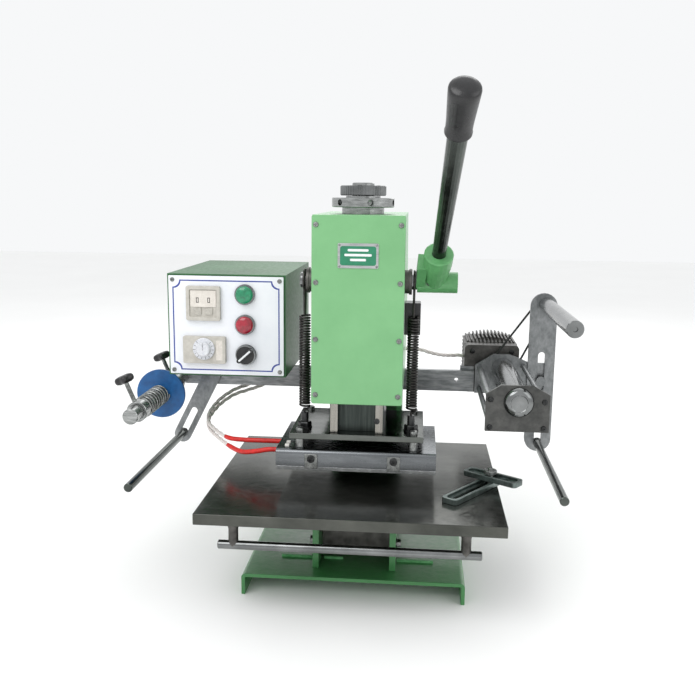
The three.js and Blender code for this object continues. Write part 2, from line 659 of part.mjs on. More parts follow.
// ---------------------------------------------------------------- return springs
for (const [name, side] of [["return_spring_left", -1], ["return_spring_right", 1]]) {
  const x = side * SPRING_X;
  const strap = cut(
    joined(
      alongX(bar(STRAP_RADIUS, x - STRAP_THICKNESS / 2, x + STRAP_THICKNESS / 2, 20), SHAFT_Y, SHAFT_Z),
      block(
        x - STRAP_THICKNESS / 2, x + STRAP_THICKNESS / 2,
        SHAFT_Y - 5, SHAFT_Y + 5, SPRING_TOP - 1, SHAFT_Z - SHAFT_RADIUS - 1,
      ),
    ),
    shaftBore(RUN),
  );
  const coil = bar(SPRING_RADIUS, SPRING_BOTTOM, SPRING_TOP, 12).translate(x, SHAFT_Y, 0);
  const hook = bar(HOOK_RADIUS, PLATE_TOP + STUD_HEIGHT + TOUCH, SPRING_BOTTOM + 1, 8).translate(x, SHAFT_Y, 0);
  add(stamper, name, joined(strap, coil, hook), BLACK, 0.4, 0.8);
}

// ---------------------------------------------------------------- table, runner, pull handle, gauge
const table = new THREE.Group();
stamper.add(table);
const tableUnder = TABLE_TOP - TABLE_THICKNESS;
add(table, "table_plate",
  block(-TABLE_HALF_WIDTH, TABLE_HALF_WIDTH, TABLE_FRONT, TABLE_BACK, tableUnder, TABLE_TOP),
  DARK_STEEL, 0.25, 0.9);

const runnerMiddle = (TABLE_FRONT + TABLE_BACK) / 2;
const runnerTop = tableUnder - TOUCH;
add(table, "table_runner", cut(
  block(
    -RUNNER_HALF_WIDTH, RUNNER_HALF_WIDTH,
    runnerMiddle - RUNNER_LENGTH / 2, runnerMiddle + RUNNER_LENGTH / 2, runnerTop - RUNNER_DROP, runnerTop,
  ),
  block(
    -RAIL_HALF_WIDTH - RUN, RAIL_HALF_WIDTH + RUN,
    runnerMiddle - RUNNER_LENGTH, runnerMiddle + RUNNER_LENGTH, runnerTop - RUNNER_DROP - 5, railTop + RUN,
  ),
), DARK_STEEL, 0.5, 0.8);

const pullZ = tableUnder - PULL_BAR_DROP;
const pullY = TABLE_FRONT + PULL_SETBACK;
const barEnd = PULL_BAR_HALF_LENGTH;
add(table, "pull_handle", joined(
  alongX(turned([
    [0, -barEnd], [PULL_BAR_RADIUS - 1, -barEnd], [PULL_BAR_RADIUS, -barEnd + 1],
    [PULL_BAR_RADIUS, barEnd - 1], [PULL_BAR_RADIUS - 1, barEnd], [0, barEnd],
  ], 16), pullY, pullZ),
  ...[-PULL_POST_X, PULL_POST_X].map((x) =>
    bar(PULL_POST_RADIUS, pullZ, tableUnder - TOUCH, 16).translate(x, pullY, 0)),
), BRIGHT_STEEL, 0.2, 1);

// Register gauge: two slotted channel bars that cross on a clamping stud.
const GAUGE_X = 177;
const GAUGE_Y = -44;
const GAUGE_BAR_HEIGHT = 7;
const GAUGE_BAR_WIDTH = 23;
const GAUGE_STUD_RADIUS = 4;
function gaugeBar(back, ahead, angle, bottom, slotHalf) {
  const half = GAUGE_BAR_WIDTH / 2;
  const body = block(-back, ahead, -half, half, bottom, bottom + GAUGE_BAR_HEIGHT);
  const groove = block(-back - 5, ahead + 5, -half + 4, half - 4, bottom + 3, bottom + GAUGE_BAR_HEIGHT + 5);
  const slot = block(-back + 10, ahead - 10, -slotHalf, slotHalf, bottom - 5, bottom + 9);
  return cut(body, groove, slot).rotateZ(THREE.MathUtils.degToRad(angle)).translate(GAUGE_X, GAUGE_Y, 0);
}
const gaugeLow = TABLE_TOP + TOUCH;
const gaugeHigh = gaugeLow + GAUGE_BAR_HEIGHT + TOUCH;
add(table, "gauge_lower_bar", joined(gaugeBar(98, 14, 54, gaugeLow, GAUGE_STUD_RADIUS - 1), turned([
  [0, gaugeLow], [GAUGE_STUD_RADIUS, gaugeLow], [GAUGE_STUD_RADIUS, gaugeHigh + 3 + TOUCH],
  [GAUGE_STUD_RADIUS + 3, gaugeHigh + 3 + TOUCH], [GAUGE_STUD_RADIUS + 3, gaugeHigh + 9],
  [GAUGE_STUD_RADIUS - 1, gaugeHigh + 9], [GAUGE_STUD_RADIUS - 1, gaugeHigh + 16], [0, gaugeHigh + 16],
], 16).translate(GAUGE_X, GAUGE_Y, 0)), STEEL, 0.35, 1);
add(table, "gauge_upper_bar", gaugeBar(36, 44, -36, gaugeHigh, GAUGE_STUD_RADIUS + RUN), STEEL, 0.35, 1);

// ---------------------------------------------------------------- cross bar
const barBack = BAR_FRONT + BAR_THICKNESS;
const barMiddle = (BAR_BOTTOM + BAR_TOP) / 2;
const barHalf = (BAR_TOP - BAR_BOTTOM) / 2;
const motorFace = MOTOR_FRONT - TOUCH;
add(stamper, "cross_bar", cut(
  joined(
    block(UNWIND_X, BAR_RIGHT, BAR_FRONT, barBack, BAR_BOTTOM, BAR_TOP),
    alongY(bar(barHalf, BAR_FRONT, barBack, 24), UNWIND_X, barMiddle),
    block(MOTOR_LEFT - 6, BAR_RIGHT, barBack - 1, motorFace, BAR_BOTTOM, BAR_TOP + 6),
  ),
  alongY(bar(3.2, BAR_FRONT - 5, barBack + 5, 12), MOTOR_LEFT - 12, barMiddle + 2),
), STEEL, 0.45, 0.9);

// ---------------------------------------------------------------- control box and what is on its panel
const panelBack = BOX_FRONT - TOUCH;
const panelFront = panelBack - PANEL_THICKNESS;
add(stamper, "control_box", joined(
  cut(
    block(BOX_LEFT, BOX_RIGHT, BOX_FRONT, BOX_BACK, BOX_BOTTOM, BOX_TOP),
    block(
      BOX_LEFT + BOX_SHEET, BOX_RIGHT - BOX_SHEET, BOX_FRONT - 10, BOX_BACK - BOX_SHEET,
      BOX_BOTTOM + BOX_SHEET, BOX_TOP - BOX_SHEET,
    ),
  ),
  ...[0.2, 0.75].map((share) => {
    const x = BOX_LEFT + share * (BOX_RIGHT - BOX_LEFT);
    return block(x, x + 20, BAR_FRONT - 4, barBack + 4, BAR_TOP + TOUCH, BOX_BOTTOM + 1);
  }),
), GREEN, 0.4, 0);
add(stamper, "control_panel",
  plateXZ(roundedRectangle(BOX_LEFT, BOX_RIGHT, BOX_BOTTOM, BOX_TOP, 2), panelFront, panelBack),
  0xf0f1f6, 0.35, 0);

const faceY = panelFront - TOUCH;
const boxMiddle = (BOX_LEFT + BOX_RIGHT) / 2;
const TIMER_SIZE = 48;
const timerX = boxMiddle - 31;
const timerZ = BOX_TOP - 40;
add(stamper, "timer", joined(
  plateXZ(roundedRectangle(
    timerX - TIMER_SIZE / 2, timerX + TIMER_SIZE / 2, timerZ - TIMER_SIZE / 2, timerZ + TIMER_SIZE / 2, 2,
  ), faceY - 4, faceY),
  block(timerX - 18, timerX + 18, faceY - 6, faceY - 3, timerZ - 18, timerZ + 18),
), 0xcfc9c0, 0.4, 0);

const thermostatX = timerX + 1;
const thermostatZ = BOX_BOTTOM + 38;
const THERMOSTAT_HALF_WIDTH = 30;
const THERMOSTAT_HALF_HEIGHT = 19;
const DIAL_RADIUS = 15.5;
const dialBack = faceY - 7;
add(stamper, "thermostat", plateXZ(roundedRectangle(
  thermostatX - THERMOSTAT_HALF_WIDTH, thermostatX + THERMOSTAT_HALF_WIDTH,
  thermostatZ - THERMOSTAT_HALF_HEIGHT, thermostatZ + THERMOSTAT_HALF_HEIGHT, 3,
), dialBack, faceY), 0xd8d4de, 0.2, 0);
add(stamper, "thermostat_dial",
  alongY(turned([
    [0, dialBack - 9], [DIAL_RADIUS * 0.55, dialBack - 9], [DIAL_RADIUS * 0.6, dialBack - 8],
    [DIAL_RADIUS * 0.62, dialBack - 4], [DIAL_RADIUS, dialBack - 3.4], [DIAL_RADIUS, dialBack - TOUCH],
    [0, dialBack - TOUCH],
  ], 20), thermostatX, thermostatZ + 2), BRIGHT_STEEL, 0.25, 0.8);

const controlsX = boxMiddle + 27;
const LAMP_RADIUS = 12.2;
const lamp = (z) => alongY(turned([
  [0, faceY - 11], [LAMP_RADIUS * 0.6, faceY - 10], [LAMP_RADIUS * 0.86, faceY - 8], [LAMP_RADIUS, faceY - 5],
  [LAMP_RADIUS, faceY - 3], [LAMP_RADIUS + 2, faceY - 3], [LAMP_RADIUS + 2, faceY], [0, faceY],
], 16), controlsX, z);
add(stamper, "lamp_green", lamp(BOX_TOP - 27), 0x0a8a5c, 0.2, 0);
add(stamper, "lamp_red", lamp(BOX_TOP - 69), 0xa51c28, 0.2, 0);
const selectorZ = BOX_BOTTOM + 32;
add(stamper, "selector_knob", joined(
  alongY(turned([
    [0, faceY - 9], [10.5, faceY - 9], [11, faceY - 8.5], [11, faceY - 2.5], [14.5, faceY - 2], [14.5, faceY],
    [0, faceY],
  ], 16), controlsX + 1, selectorZ),
  block(-2.6, 2.6, faceY - 15, faceY - 8, -10.5, 10.5)
    .rotateY(THREE.MathUtils.degToRad(48)).translate(controlsX + 1, 0, selectorZ),
), BLACK, 0.35, 0);

// ---------------------------------------------------------------- foil unwind shaft
add(stamper, "unwind_shaft", joined(
  alongY(turned([
    [0, UNWIND_FRONT], [UNWIND_RADIUS - 1, UNWIND_FRONT], [UNWIND_RADIUS, UNWIND_FRONT + 1],
    [UNWIND_RADIUS, BAR_FRONT - TOUCH], [0, BAR_FRONT - TOUCH],
  ]), UNWIND_X, UNWIND_Z),
  alongY(bar(COLLAR_RADIUS, HUB_COLLAR_Y - 12, HUB_COLLAR_Y + 12, 24), UNWIND_X, UNWIND_Z),
), STEEL, 0.3, 1);
const aroundUnwind = (inner, outer, y0, y1, sides = 24) =>
  alongY(ring(inner, outer, y0, y1, sides), UNWIND_X, UNWIND_Z);
const unwindBore = UNWIND_RADIUS + RUN;
const reelBack = REEL_Y + REEL_THICKNESS;
add(stamper, "reel_flange", joined(
  aroundUnwind(unwindBore, REEL_RADIUS, REEL_Y, reelBack, 30),
  aroundUnwind(unwindBore, UNWIND_RADIUS + 5, reelBack - 1, reelBack + 24),
), 0x1b5a96, 0.35, 0);
const collarBack = COLLAR_Y + COLLAR_LENGTH / 2;
add(stamper, "brake_spring",
  aroundUnwind(unwindBore + 0.5, BRAKE_SPRING_RADIUS, collarBack + TOUCH, REEL_Y - TOUCH, 20),
  STEEL, 0.35, 0.9);
const knobDirection = new THREE.Vector3(-Math.sin(KNOB_TILT), 0, Math.cos(KNOB_TILT));
const atKnob = (geometry, y) => geometry.rotateY(-KNOB_TILT).translate(UNWIND_X, y, UNWIND_Z);
const threadBore = (y) => atKnob(bar(KNOB_STEM_RADIUS + TOUCH, UNWIND_RADIUS - 4, COLLAR_RADIUS + 5, 12), y);
add(stamper, "brake_collar", cut(
  aroundUnwind(UNWIND_RADIUS + TOUCH, COLLAR_RADIUS, COLLAR_Y - COLLAR_LENGTH / 2, collarBack),
  threadBore(COLLAR_Y),
), STEEL, 0.3, 1);

// A five-lobed clamping knob on a thin screw.
function lobedKnob(y, foot) {
  const steps = 30;
  const outline = Array.from({ length: steps }, (_, i) => {
    const angle = (i * 2 * Math.PI) / steps;
    const radius = KNOB_RADIUS - 1.6 + 1.6 * Math.cos(5 * angle);
    return [radius * Math.cos(angle), radius * Math.sin(angle)];
  });
  return atKnob(joined(
    plateXY(outline, KNOB_REACH, KNOB_REACH + KNOB_HEIGHT),
    bar(5.5, KNOB_REACH - 5, KNOB_REACH + 1, 12),
    bar(KNOB_STEM_RADIUS, foot, KNOB_REACH, 8),
  ), y);
}
add(stamper, "collar_knob", lobedKnob(COLLAR_Y, UNWIND_RADIUS + TOUCH), BLACK, 0.5, 0);
add(stamper, "hub_knob", lobedKnob(HUB_COLLAR_Y, COLLAR_RADIUS + TOUCH), BLACK, 0.5, 0);

// ---------------------------------------------------------------- slotted plates and guide rods
const leftPlateFront = BAR_FRONT - TOUCH - SLOT_PLATE_THICKNESS;
const alongLeft = (distance) => [
  LEFT_PLATE_X - distance * Math.sin(LEFT_PLATE_TILT),
  LEFT_PLATE_Z - distance * Math.cos(LEFT_PLATE_TILT),
];
const leftEnd = alongLeft(LEFT_PLATE_LENGTH - LEFT_PLATE_WIDTH / 2);
const slotLow = alongLeft(LEFT_PLATE_LENGTH - LEFT_PLATE_WIDTH / 2);
const slotHigh = alongLeft(LEFT_PLATE_LENGTH - LEFT_PLATE_WIDTH / 2 - 44);
add(stamper, "left_slotted_plate", cut(
  plateXZ(
    stadium(LEFT_PLATE_X, LEFT_PLATE_Z, ...leftEnd, LEFT_PLATE_WIDTH / 2),
    leftPlateFront, leftPlateFront + SLOT_PLATE_THICKNESS, 5,
  ),
  plateXZ(stadium(...slotLow, ...slotHigh, SLOT_WIDTH / 2), leftPlateFront - 5, BAR_FRONT + 5, 4),
), STEEL, 0.45, 0.9);

// A guide rod: a shoulder against the plate, a neck in the slot and a nut behind.
function guideRod(x, z, plateFront) {
  const plateBack = plateFront + SLOT_PLATE_THICKNESS;
  return alongY(turned([
    [0, GUIDE_ROD_FRONT], [GUIDE_ROD_RADIUS - 0.8, GUIDE_ROD_FRONT],
    [GUIDE_ROD_RADIUS, GUIDE_ROD_FRONT + 0.8], [GUIDE_ROD_RADIUS, plateFront - 5],
    [GUIDE_ROD_RADIUS + 2.5, plateFront - 5], [GUIDE_ROD_RADIUS + 2.5, plateFront - TOUCH],
    [SLOT_WIDTH / 2 - RUN, plateFront - TOUCH], [SLOT_WIDTH / 2 - RUN, plateBack + TOUCH],
    [GUIDE_ROD_RADIUS + 3, plateBack + TOUCH], [GUIDE_ROD_RADIUS + 3, plateBack + 4.6],
    [0, plateBack + 4.6],
  ], 12), x, z);
}
add(stamper, "left_guide_rod", guideRod(...alongLeft(LEFT_ROD_ALONG), leftPlateFront), BRIGHT_STEEL, 0.2, 1);

const feedRearFront = BAR_FRONT - TOUCH - FEED_PLATE;
const rightPlateFront = feedRearFront - TOUCH - SLOT_PLATE_THICKNESS;
const rightPlateHalf = RIGHT_PLATE_WIDTH / 2;
const clampBoltZ = barMiddle + 7;
const rightPlate = new THREE.Group();
stamper.add(rightPlate);
add(rightPlate, "right_slotted_plate", cut(
  plateXZ(
    stadium(
      RIGHT_PLATE_X, RIGHT_PLATE_BOTTOM + rightPlateHalf,
      RIGHT_PLATE_X, RIGHT_PLATE_TOP - rightPlateHalf, rightPlateHalf,
    ),
    rightPlateFront, rightPlateFront + SLOT_PLATE_THICKNESS, 6,
  ),
  plateXZ(
    stadium(RIGHT_PLATE_X, clampBoltZ - 12, RIGHT_PLATE_X, 279, SLOT_WIDTH / 2),
    rightPlateFront - 5, BAR_FRONT + 5, 4,
  ),
  plateXZ(
    stadium(RIGHT_PLATE_X, RIGHT_ROD_Z - 1, RIGHT_PLATE_X, 172, SLOT_WIDTH / 2),
    rightPlateFront - 5, BAR_FRONT + 5, 4,
  ),
  alongY(bar(JOURNAL_RADIUS + RUN, rightPlateFront - 5, BAR_FRONT + 5, 12), TAKEUP_X, TAKEUP_Z),
), STEEL, 0.45, 0.9);
add(rightPlate, "right_guide_rod", guideRod(RIGHT_PLATE_X, RIGHT_ROD_Z, rightPlateFront), BRIGHT_STEEL, 0.2, 1);

const pulleyFront = PULLEY_Y - PULLEY_WIDTH / 2;
const pulleyBack = PULLEY_Y + PULLEY_WIDTH / 2;
function pulleyProfile(radius) {
  return [
    [radius + 3, pulleyFront], [radius + 3, pulleyFront + 1.2], [radius - TOUCH, PULLEY_Y - 1.5],
    [radius - TOUCH, PULLEY_Y + 1.5], [radius + 3, pulleyBack - 1.2], [radius + 3, pulleyBack], [0, pulleyBack],
  ];
}
add(rightPlate, "takeup_roller", alongY(turned([
  [0, TAKEUP_FRONT], [TAKEUP_RADIUS - 1, TAKEUP_FRONT], [TAKEUP_RADIUS, TAKEUP_FRONT + 1],
  [TAKEUP_RADIUS, rightPlateFront - TOUCH], [JOURNAL_RADIUS, rightPlateFront - TOUCH],
  [JOURNAL_RADIUS, pulleyFront], ...pulleyProfile(TAKEUP_PULLEY_RADIUS),
]), TAKEUP_X, TAKEUP_Z), BRIGHT_STEEL, 0.25, 1);

// ---------------------------------------------------------------- foil feed unit
const journalBore = (x, z, radius) =>
  alongY(bar(radius, FEED_FRONT - 5, BAR_FRONT + 5, 12), x, z);
const feedMiddle = (FEED_LEFT + FEED_RIGHT) / 2;
const nipZ = FEED_ROLLER_Z - FEED_ROLLER_RADIUS - NIP_ROLLER_RADIUS - TOUCH;
function feedOutline(right) {
  const shape = new THREE.Shape();
  shape.moveTo(FEED_LEFT, FEED_BOTTOM);
  shape.lineTo(right, FEED_BOTTOM);
  shape.lineTo(right, FEED_SHOULDER);
  shape.lineTo(feedMiddle + 12, FEED_TOP);
  shape.lineTo(feedMiddle - 14, FEED_TOP);
  shape.lineTo(FEED_LEFT, FEED_SHOULDER - 5);
  return shape;
}
const feedBores = [
  journalBore(FEED_ROLLER_X, FEED_ROLLER_Z, JOURNAL_RADIUS + RUN),
  journalBore(FEED_ROLLER_X, nipZ, JOURNAL_RADIUS - 2 + RUN),
];
const feedFrontBack = FEED_FRONT + FEED_PLATE;
const tieRods = [[FEED_LEFT + 7, FEED_SHOULDER - 11], [FEED_RIGHT - 9, FEED_SHOULDER - 6], [FEED_LEFT + 7, FEED_BOTTOM + 7]]
  .map(([x, z]) => alongY(bar(TIE_ROD_RADIUS, feedFrontBack + TOUCH, feedRearFront + 1, 10), x, z));
const clampBolt = alongY(turned([
  [0, rightPlateFront - 7], [7.5, rightPlateFront - 7], [7.5, rightPlateFront - TOUCH],
  [SLOT_WIDTH / 2 - RUN, rightPlateFront - TOUCH], [SLOT_WIDTH / 2 - RUN, feedRearFront + 1], [0, feedRearFront + 1],
], 12), RIGHT_PLATE_X, clampBoltZ);
add(stamper, "feed_rear_plate", joined(
  cut(plateXZ(feedOutline(FEED_RIGHT), feedRearFront, feedRearFront + FEED_PLATE), ...feedBores),
  block(
    FEED_RIGHT - 4, RIGHT_PLATE_X + rightPlateHalf, feedRearFront, feedRearFront + FEED_PLATE,
    FEED_BOTTOM + 6, FEED_SHOULDER,
  ),
  ...tieRods,
  clampBolt,
), DARK_STEEL, 0.4, 0.9);
add(stamper, "feed_front_plate", joined(
  cut(plateXZ(feedOutline(FEED_RIGHT), FEED_FRONT, feedFrontBack), ...feedBores),
  alongY(turned([
    [0, FEED_FRONT - 9], [FEED_CAP_RADIUS * 0.55, FEED_FRONT - 8.2], [FEED_CAP_RADIUS * 0.86, FEED_FRONT - 5.5],
    [FEED_CAP_RADIUS, FEED_FRONT - 1.5], [FEED_CAP_RADIUS, FEED_FRONT + 0.5], [0, FEED_FRONT + 0.5],
  ], 20), FEED_ROLLER_X, FEED_ROLLER_Z),
), DARK_STEEL, 0.4, 0.9);

const rollerFront = feedFrontBack + 2;
const rollerBack = feedRearFront - 2;
add(stamper, "feed_roller", alongY(turned([
  [0, feedFrontBack - 3.5], [JOURNAL_RADIUS, feedFrontBack - 3.5], [JOURNAL_RADIUS, rollerFront],
  [FEED_ROLLER_RADIUS, rollerFront], [FEED_ROLLER_RADIUS, rollerBack], [JOURNAL_RADIUS, rollerBack],
  [JOURNAL_RADIUS, pulleyFront], ...pulleyProfile(FEED_PULLEY_RADIUS),
], 24), FEED_ROLLER_X, FEED_ROLLER_Z), BRIGHT_STEEL, 0.2, 1);
add(stamper, "nip_roller", alongY(turned([
  [0, feedFrontBack - 3.5], [JOURNAL_RADIUS - 2, feedFrontBack - 3.5], [JOURNAL_RADIUS - 2, rollerFront],
  [NIP_ROLLER_RADIUS, rollerFront], [NIP_ROLLER_RADIUS, rollerBack], [JOURNAL_RADIUS - 2, rollerBack],
  [JOURNAL_RADIUS - 2, feedRearFront + 3], [0, feedRearFront + 3],
], 16), FEED_ROLLER_X, nipZ), BLACK, 0.7, 0);

// Round belt, drawn as a closed loop round both pulleys.
function beltOutline(grow) {
  const dx = TAKEUP_X - FEED_ROLLER_X;
  const dz = TAKEUP_Z - FEED_ROLLER_Z;
  const lower = FEED_PULLEY_RADIUS + grow;
  const upper = TAKEUP_PULLEY_RADIUS + grow;
  const angle = Math.atan2(dz, dx);
  const spread = Math.acos((lower - upper) / Math.hypot(dx, dz));
  const shape = new THREE.Shape();
  shape.absarc(TAKEUP_X, TAKEUP_Z, upper, angle - spread, angle + spread, false);
  shape.absarc(FEED_ROLLER_X, FEED_ROLLER_Z, lower, angle + spread, angle - spread + 2 * Math.PI, false);
  return shape;
}
add(stamper, "drive_belt", cut(
  plateXZ(beltOutline(BELT_SIZE), PULLEY_Y - 1.3, PULLEY_Y + 1.3, 6),
  plateXZ(beltOutline(TOUCH), PULLEY_Y - 5, PULLEY_Y + 5, 6),
), BLACK, 0.7, 0);

const motorBack = MOTOR_FRONT + MOTOR_LENGTH;
add(stamper, "gear_motor", joined(
  plateXZ(roundedRectangle(
    MOTOR_LEFT, MOTOR_LEFT + MOTOR_SIZE, MOTOR_BOTTOM, MOTOR_BOTTOM + MOTOR_SIZE, 6,
  ), MOTOR_FRONT, MOTOR_FRONT + 34),
  alongY(turned([
    [0, MOTOR_FRONT + 30], [MOTOR_SIZE / 2 - 3, MOTOR_FRONT + 30], [MOTOR_SIZE / 2 - 3, motorBack - 6],
    [MOTOR_SIZE / 2 - 9, motorBack], [0, motorBack],
  ], 24), MOTOR_LEFT + MOTOR_SIZE / 2, MOTOR_BOTTOM + MOTOR_SIZE / 2),
  alongY(bar(6, pulleyBack + TOUCH, MOTOR_FRONT + 1, 24), FEED_ROLLER_X, FEED_ROLLER_Z),
), DARK_STEEL, 0.45, 0.7);

// ---------------------------------------------------------------- foil-feed switch on the head
const switchLeft = COVER_HALF_WIDTH;
add(stamper, "feed_switch", joined(
  block(switchLeft, switchLeft + 21, SHAFT_Y + 14, SHAFT_Y + 36, 337, 379),
  alongY(bar(4, SHAFT_Y + 9, SHAFT_Y + 15, 16), switchLeft + 8, 366),
), BLACK, 0.5, 0);

// ---------------------------------------------------------------- leads
const leads = new THREE.Group();
const blockSide = -BLOCK_HALF_WIDTH - TOUCH;
const heaterLeadZ = BLOCK_TOP - BLOCK_THICKNESS / 2;
add(leads, "heater_lead_front", tubeAlong([
  [-151, 190, BOX_BOTTOM - TOUCH], [-151, 190, 252], [-154, 189, 232], [-169, 184, 214], [-191, 176, 206],
  [-212, 159, 201], [-228, 137, 192], [-236, 111, 183], [-236, 84, 177], [-226, 54, 173], [-206, 23, 170],
  [-181, -11, 168], [-159, -36, 169], [-138, -48, 174], [-120, -52, 178.5], [blockSide, -52, heaterLeadZ],
], HEATER_LEAD_RADIUS, 8, 26), 0xd8d4d0, 0.7, 0);
add(leads, "heater_lead_rear", tubeAlong([
  [-159, 190, BOX_BOTTOM - TOUCH], [-159, 190, 254], [-162, 189, 238], [-174, 184.5, 222.5], [-193, 177, 214],
  [-212, 160, 209], [-228, 138, 200], [-236, 112, 191], [-236, 85, 185], [-227, 56, 181], [-208, 27, 178],
  [-185, 0, 177], [-161, -10, 178], [-140, -14, 179], [-122, -14, heaterLeadZ], [blockSide, -14, heaterLeadZ],
], HEATER_LEAD_RADIUS, 8, 26), 0xc8302a, 0.7, 0);
add(leads, "motor_lead", tubeAlong([
  [COVER_HALF_WIDTH + TOUCH, 130, 288], [70, 130, 288], [82, 134, 286], [94, 143, 281], [106, 155, 276],
  [117, 169, 272], [128, 184, 269], [139, 192, 268], [MOTOR_LEFT - TOUCH, 192, 268],
], MOTOR_LEAD_RADIUS, 8, 16), 0xd8d4d0, 0.7, 0);

// ---------------------------------------------------------------- origin
// The origin is the middle of the machine's plan, on the floor; the leads don't count in it.
const extent = new THREE.Box3().setFromObject(stamper, true);
const middle = extent.getCenter(new THREE.Vector3());
stamper.position.set(-middle.x, -middle.y, -extent.min.z);
stamper.add(leads);

export default stamper;
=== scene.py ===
# A hand-lever hot foil stamper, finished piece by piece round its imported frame.
# Metres, +Z up, operator at -Y.
import math

import bmesh
import bpy
from mathutils import Matrix, Vector


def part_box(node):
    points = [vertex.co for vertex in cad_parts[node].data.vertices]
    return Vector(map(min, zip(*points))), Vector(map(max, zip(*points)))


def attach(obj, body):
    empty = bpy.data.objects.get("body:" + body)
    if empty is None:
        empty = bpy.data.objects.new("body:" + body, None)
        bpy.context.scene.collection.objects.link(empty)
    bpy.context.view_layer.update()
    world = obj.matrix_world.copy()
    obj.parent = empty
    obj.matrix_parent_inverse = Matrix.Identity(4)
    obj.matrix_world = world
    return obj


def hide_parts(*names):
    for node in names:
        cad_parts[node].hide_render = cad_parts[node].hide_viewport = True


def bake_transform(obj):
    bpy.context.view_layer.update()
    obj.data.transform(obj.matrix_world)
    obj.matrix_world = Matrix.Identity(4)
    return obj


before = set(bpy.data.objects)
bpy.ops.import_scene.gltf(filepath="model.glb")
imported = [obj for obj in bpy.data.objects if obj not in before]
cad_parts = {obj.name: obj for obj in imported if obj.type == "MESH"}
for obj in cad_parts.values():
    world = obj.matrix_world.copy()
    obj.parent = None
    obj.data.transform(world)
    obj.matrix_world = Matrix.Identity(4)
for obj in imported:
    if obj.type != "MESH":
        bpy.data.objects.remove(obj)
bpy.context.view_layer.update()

# ------------------------------------------------------------ camera
# A short telephoto on a stand, a little to the right of the machine and above its table. It looks slightly
# down and a few degrees back toward the control box.
EYE = (0.0994, -1.1050, 0.5151)
YAW, PITCH, ROLL = (math.radians(angle) for angle in (4.83, -10.34, 0.63))
lens = bpy.data.cameras.new("camera")
lens.sensor_width = 36
lens.lens = 43.14
camera = bpy.data.objects.new("camera", lens)
bpy.context.scene.collection.objects.link(camera)
camera.matrix_world = (
    Matrix.Translation(EYE)
    @ Matrix.Rotation(YAW, 4, "Z")
    @ Matrix.Rotation(math.pi / 2 + PITCH, 4, "X")
    @ Matrix.Rotation(ROLL, 4, "Z")
)
bpy.context.scene.camera = camera
bpy.context.scene.view_settings.view_transform = "Standard"

# ------------------------------------------------------------ heater leads
# Two bundles of braided glass-fibre wire that leave the box through its underside, hang under the cross bar
# and end in red silicone sleeves at the heating block. Each bundle is three wires laid round each other.
mm = 0.001


def span(node):
    """The lowest and highest x, y and z of a node, in the order x, x, y, y, z, z."""
    low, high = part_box(node)
    return low[0], high[0], low[1], high[1], low[2], high[2]


def linear(hex_colour):
    """An sRGB hex colour as linear red, green, blue and alpha."""
    value = int(hex_colour.lstrip("#"), 16)
    channels = [(value >> shift & 255) / 255 for shift in (16, 8, 0)]
    return tuple(c / 12.92 if c <= 0.04045 else ((c + 0.055) / 1.055) ** 2.4 for c in channels) + (1.0,)


def add_node(tree, kind, settings=(), links=()):
    """Adds one node, sets its properties and inputs, and links other sockets into its inputs."""
    made = tree.nodes.new(kind)
    for key, value in dict(settings).items():
        if isinstance(key, str) and hasattr(made, key):
            setattr(made, key, value)
        else:
            made.inputs[key].default_value = value
    for key, socket in dict(links).items():
        tree.links.new(socket, made.inputs[key])
    return made


def surface(name, light, dark, grain, rough, metallic=0.0, bump=0.15, stretch=(1, 1, 1), fine=4.0, **shader):
    """A material whose colour and gloss drift between two values over grain metres, with a finer relief."""
    material = bpy.data.materials.new(name)
    material.use_nodes = True
    tree = material.node_tree
    tree.nodes.clear()
    place = add_node(tree, "ShaderNodeTexCoord")
    scale = tuple(1 / (grain * s) for s in stretch)
    mapped = add_node(tree, "ShaderNodeMapping", {"Scale": scale}, {"Vector": place.outputs["Object"]})
    drift = add_node(tree, "ShaderNodeTexNoise", {"Scale": 1.0, "Detail": 6.0, "Roughness": 0.6},
                     {"Vector": mapped.outputs[0]})
    relief = add_node(tree, "ShaderNodeTexNoise", {"Scale": fine, "Detail": 3.0},
                      {"Vector": mapped.outputs[0]})
    mix = add_node(tree, "ShaderNodeMapRange", {"From Min": 0.3, "From Max": 0.7},
                   {"Value": drift.outputs["Fac"]})
    colour = add_node(tree, "ShaderNodeMix", {"data_type": "RGBA", 6: linear(dark), 7: linear(light)},
                      {0: mix.outputs[0]})
    gloss = add_node(tree, "ShaderNodeMapRange",
                     {"From Min": 0.3, "From Max": 0.7, "To Min": rough[0], "To Max": rough[1]},
                     {"Value": relief.outputs["Fac"]})
    bumped = add_node(tree, "ShaderNodeBump", {"Strength": bump, "Distance": grain / fine},
                      {"Height": relief.outputs["Fac"]})
    settings = {"Metallic": metallic}
    settings.update({key.replace("_", " ").title().replace("Ior", "IOR"): value for key,
                     value in shader.items()})
    body = add_node(tree, "ShaderNodeBsdfPrincipled", settings, {
        "Base Color": colour.outputs[2], "Roughness": gloss.outputs[0], "Normal": bumped.outputs[0]})
    add_node(tree, "ShaderNodeOutputMaterial", (), {"Surface": body.outputs[0]})
    return material


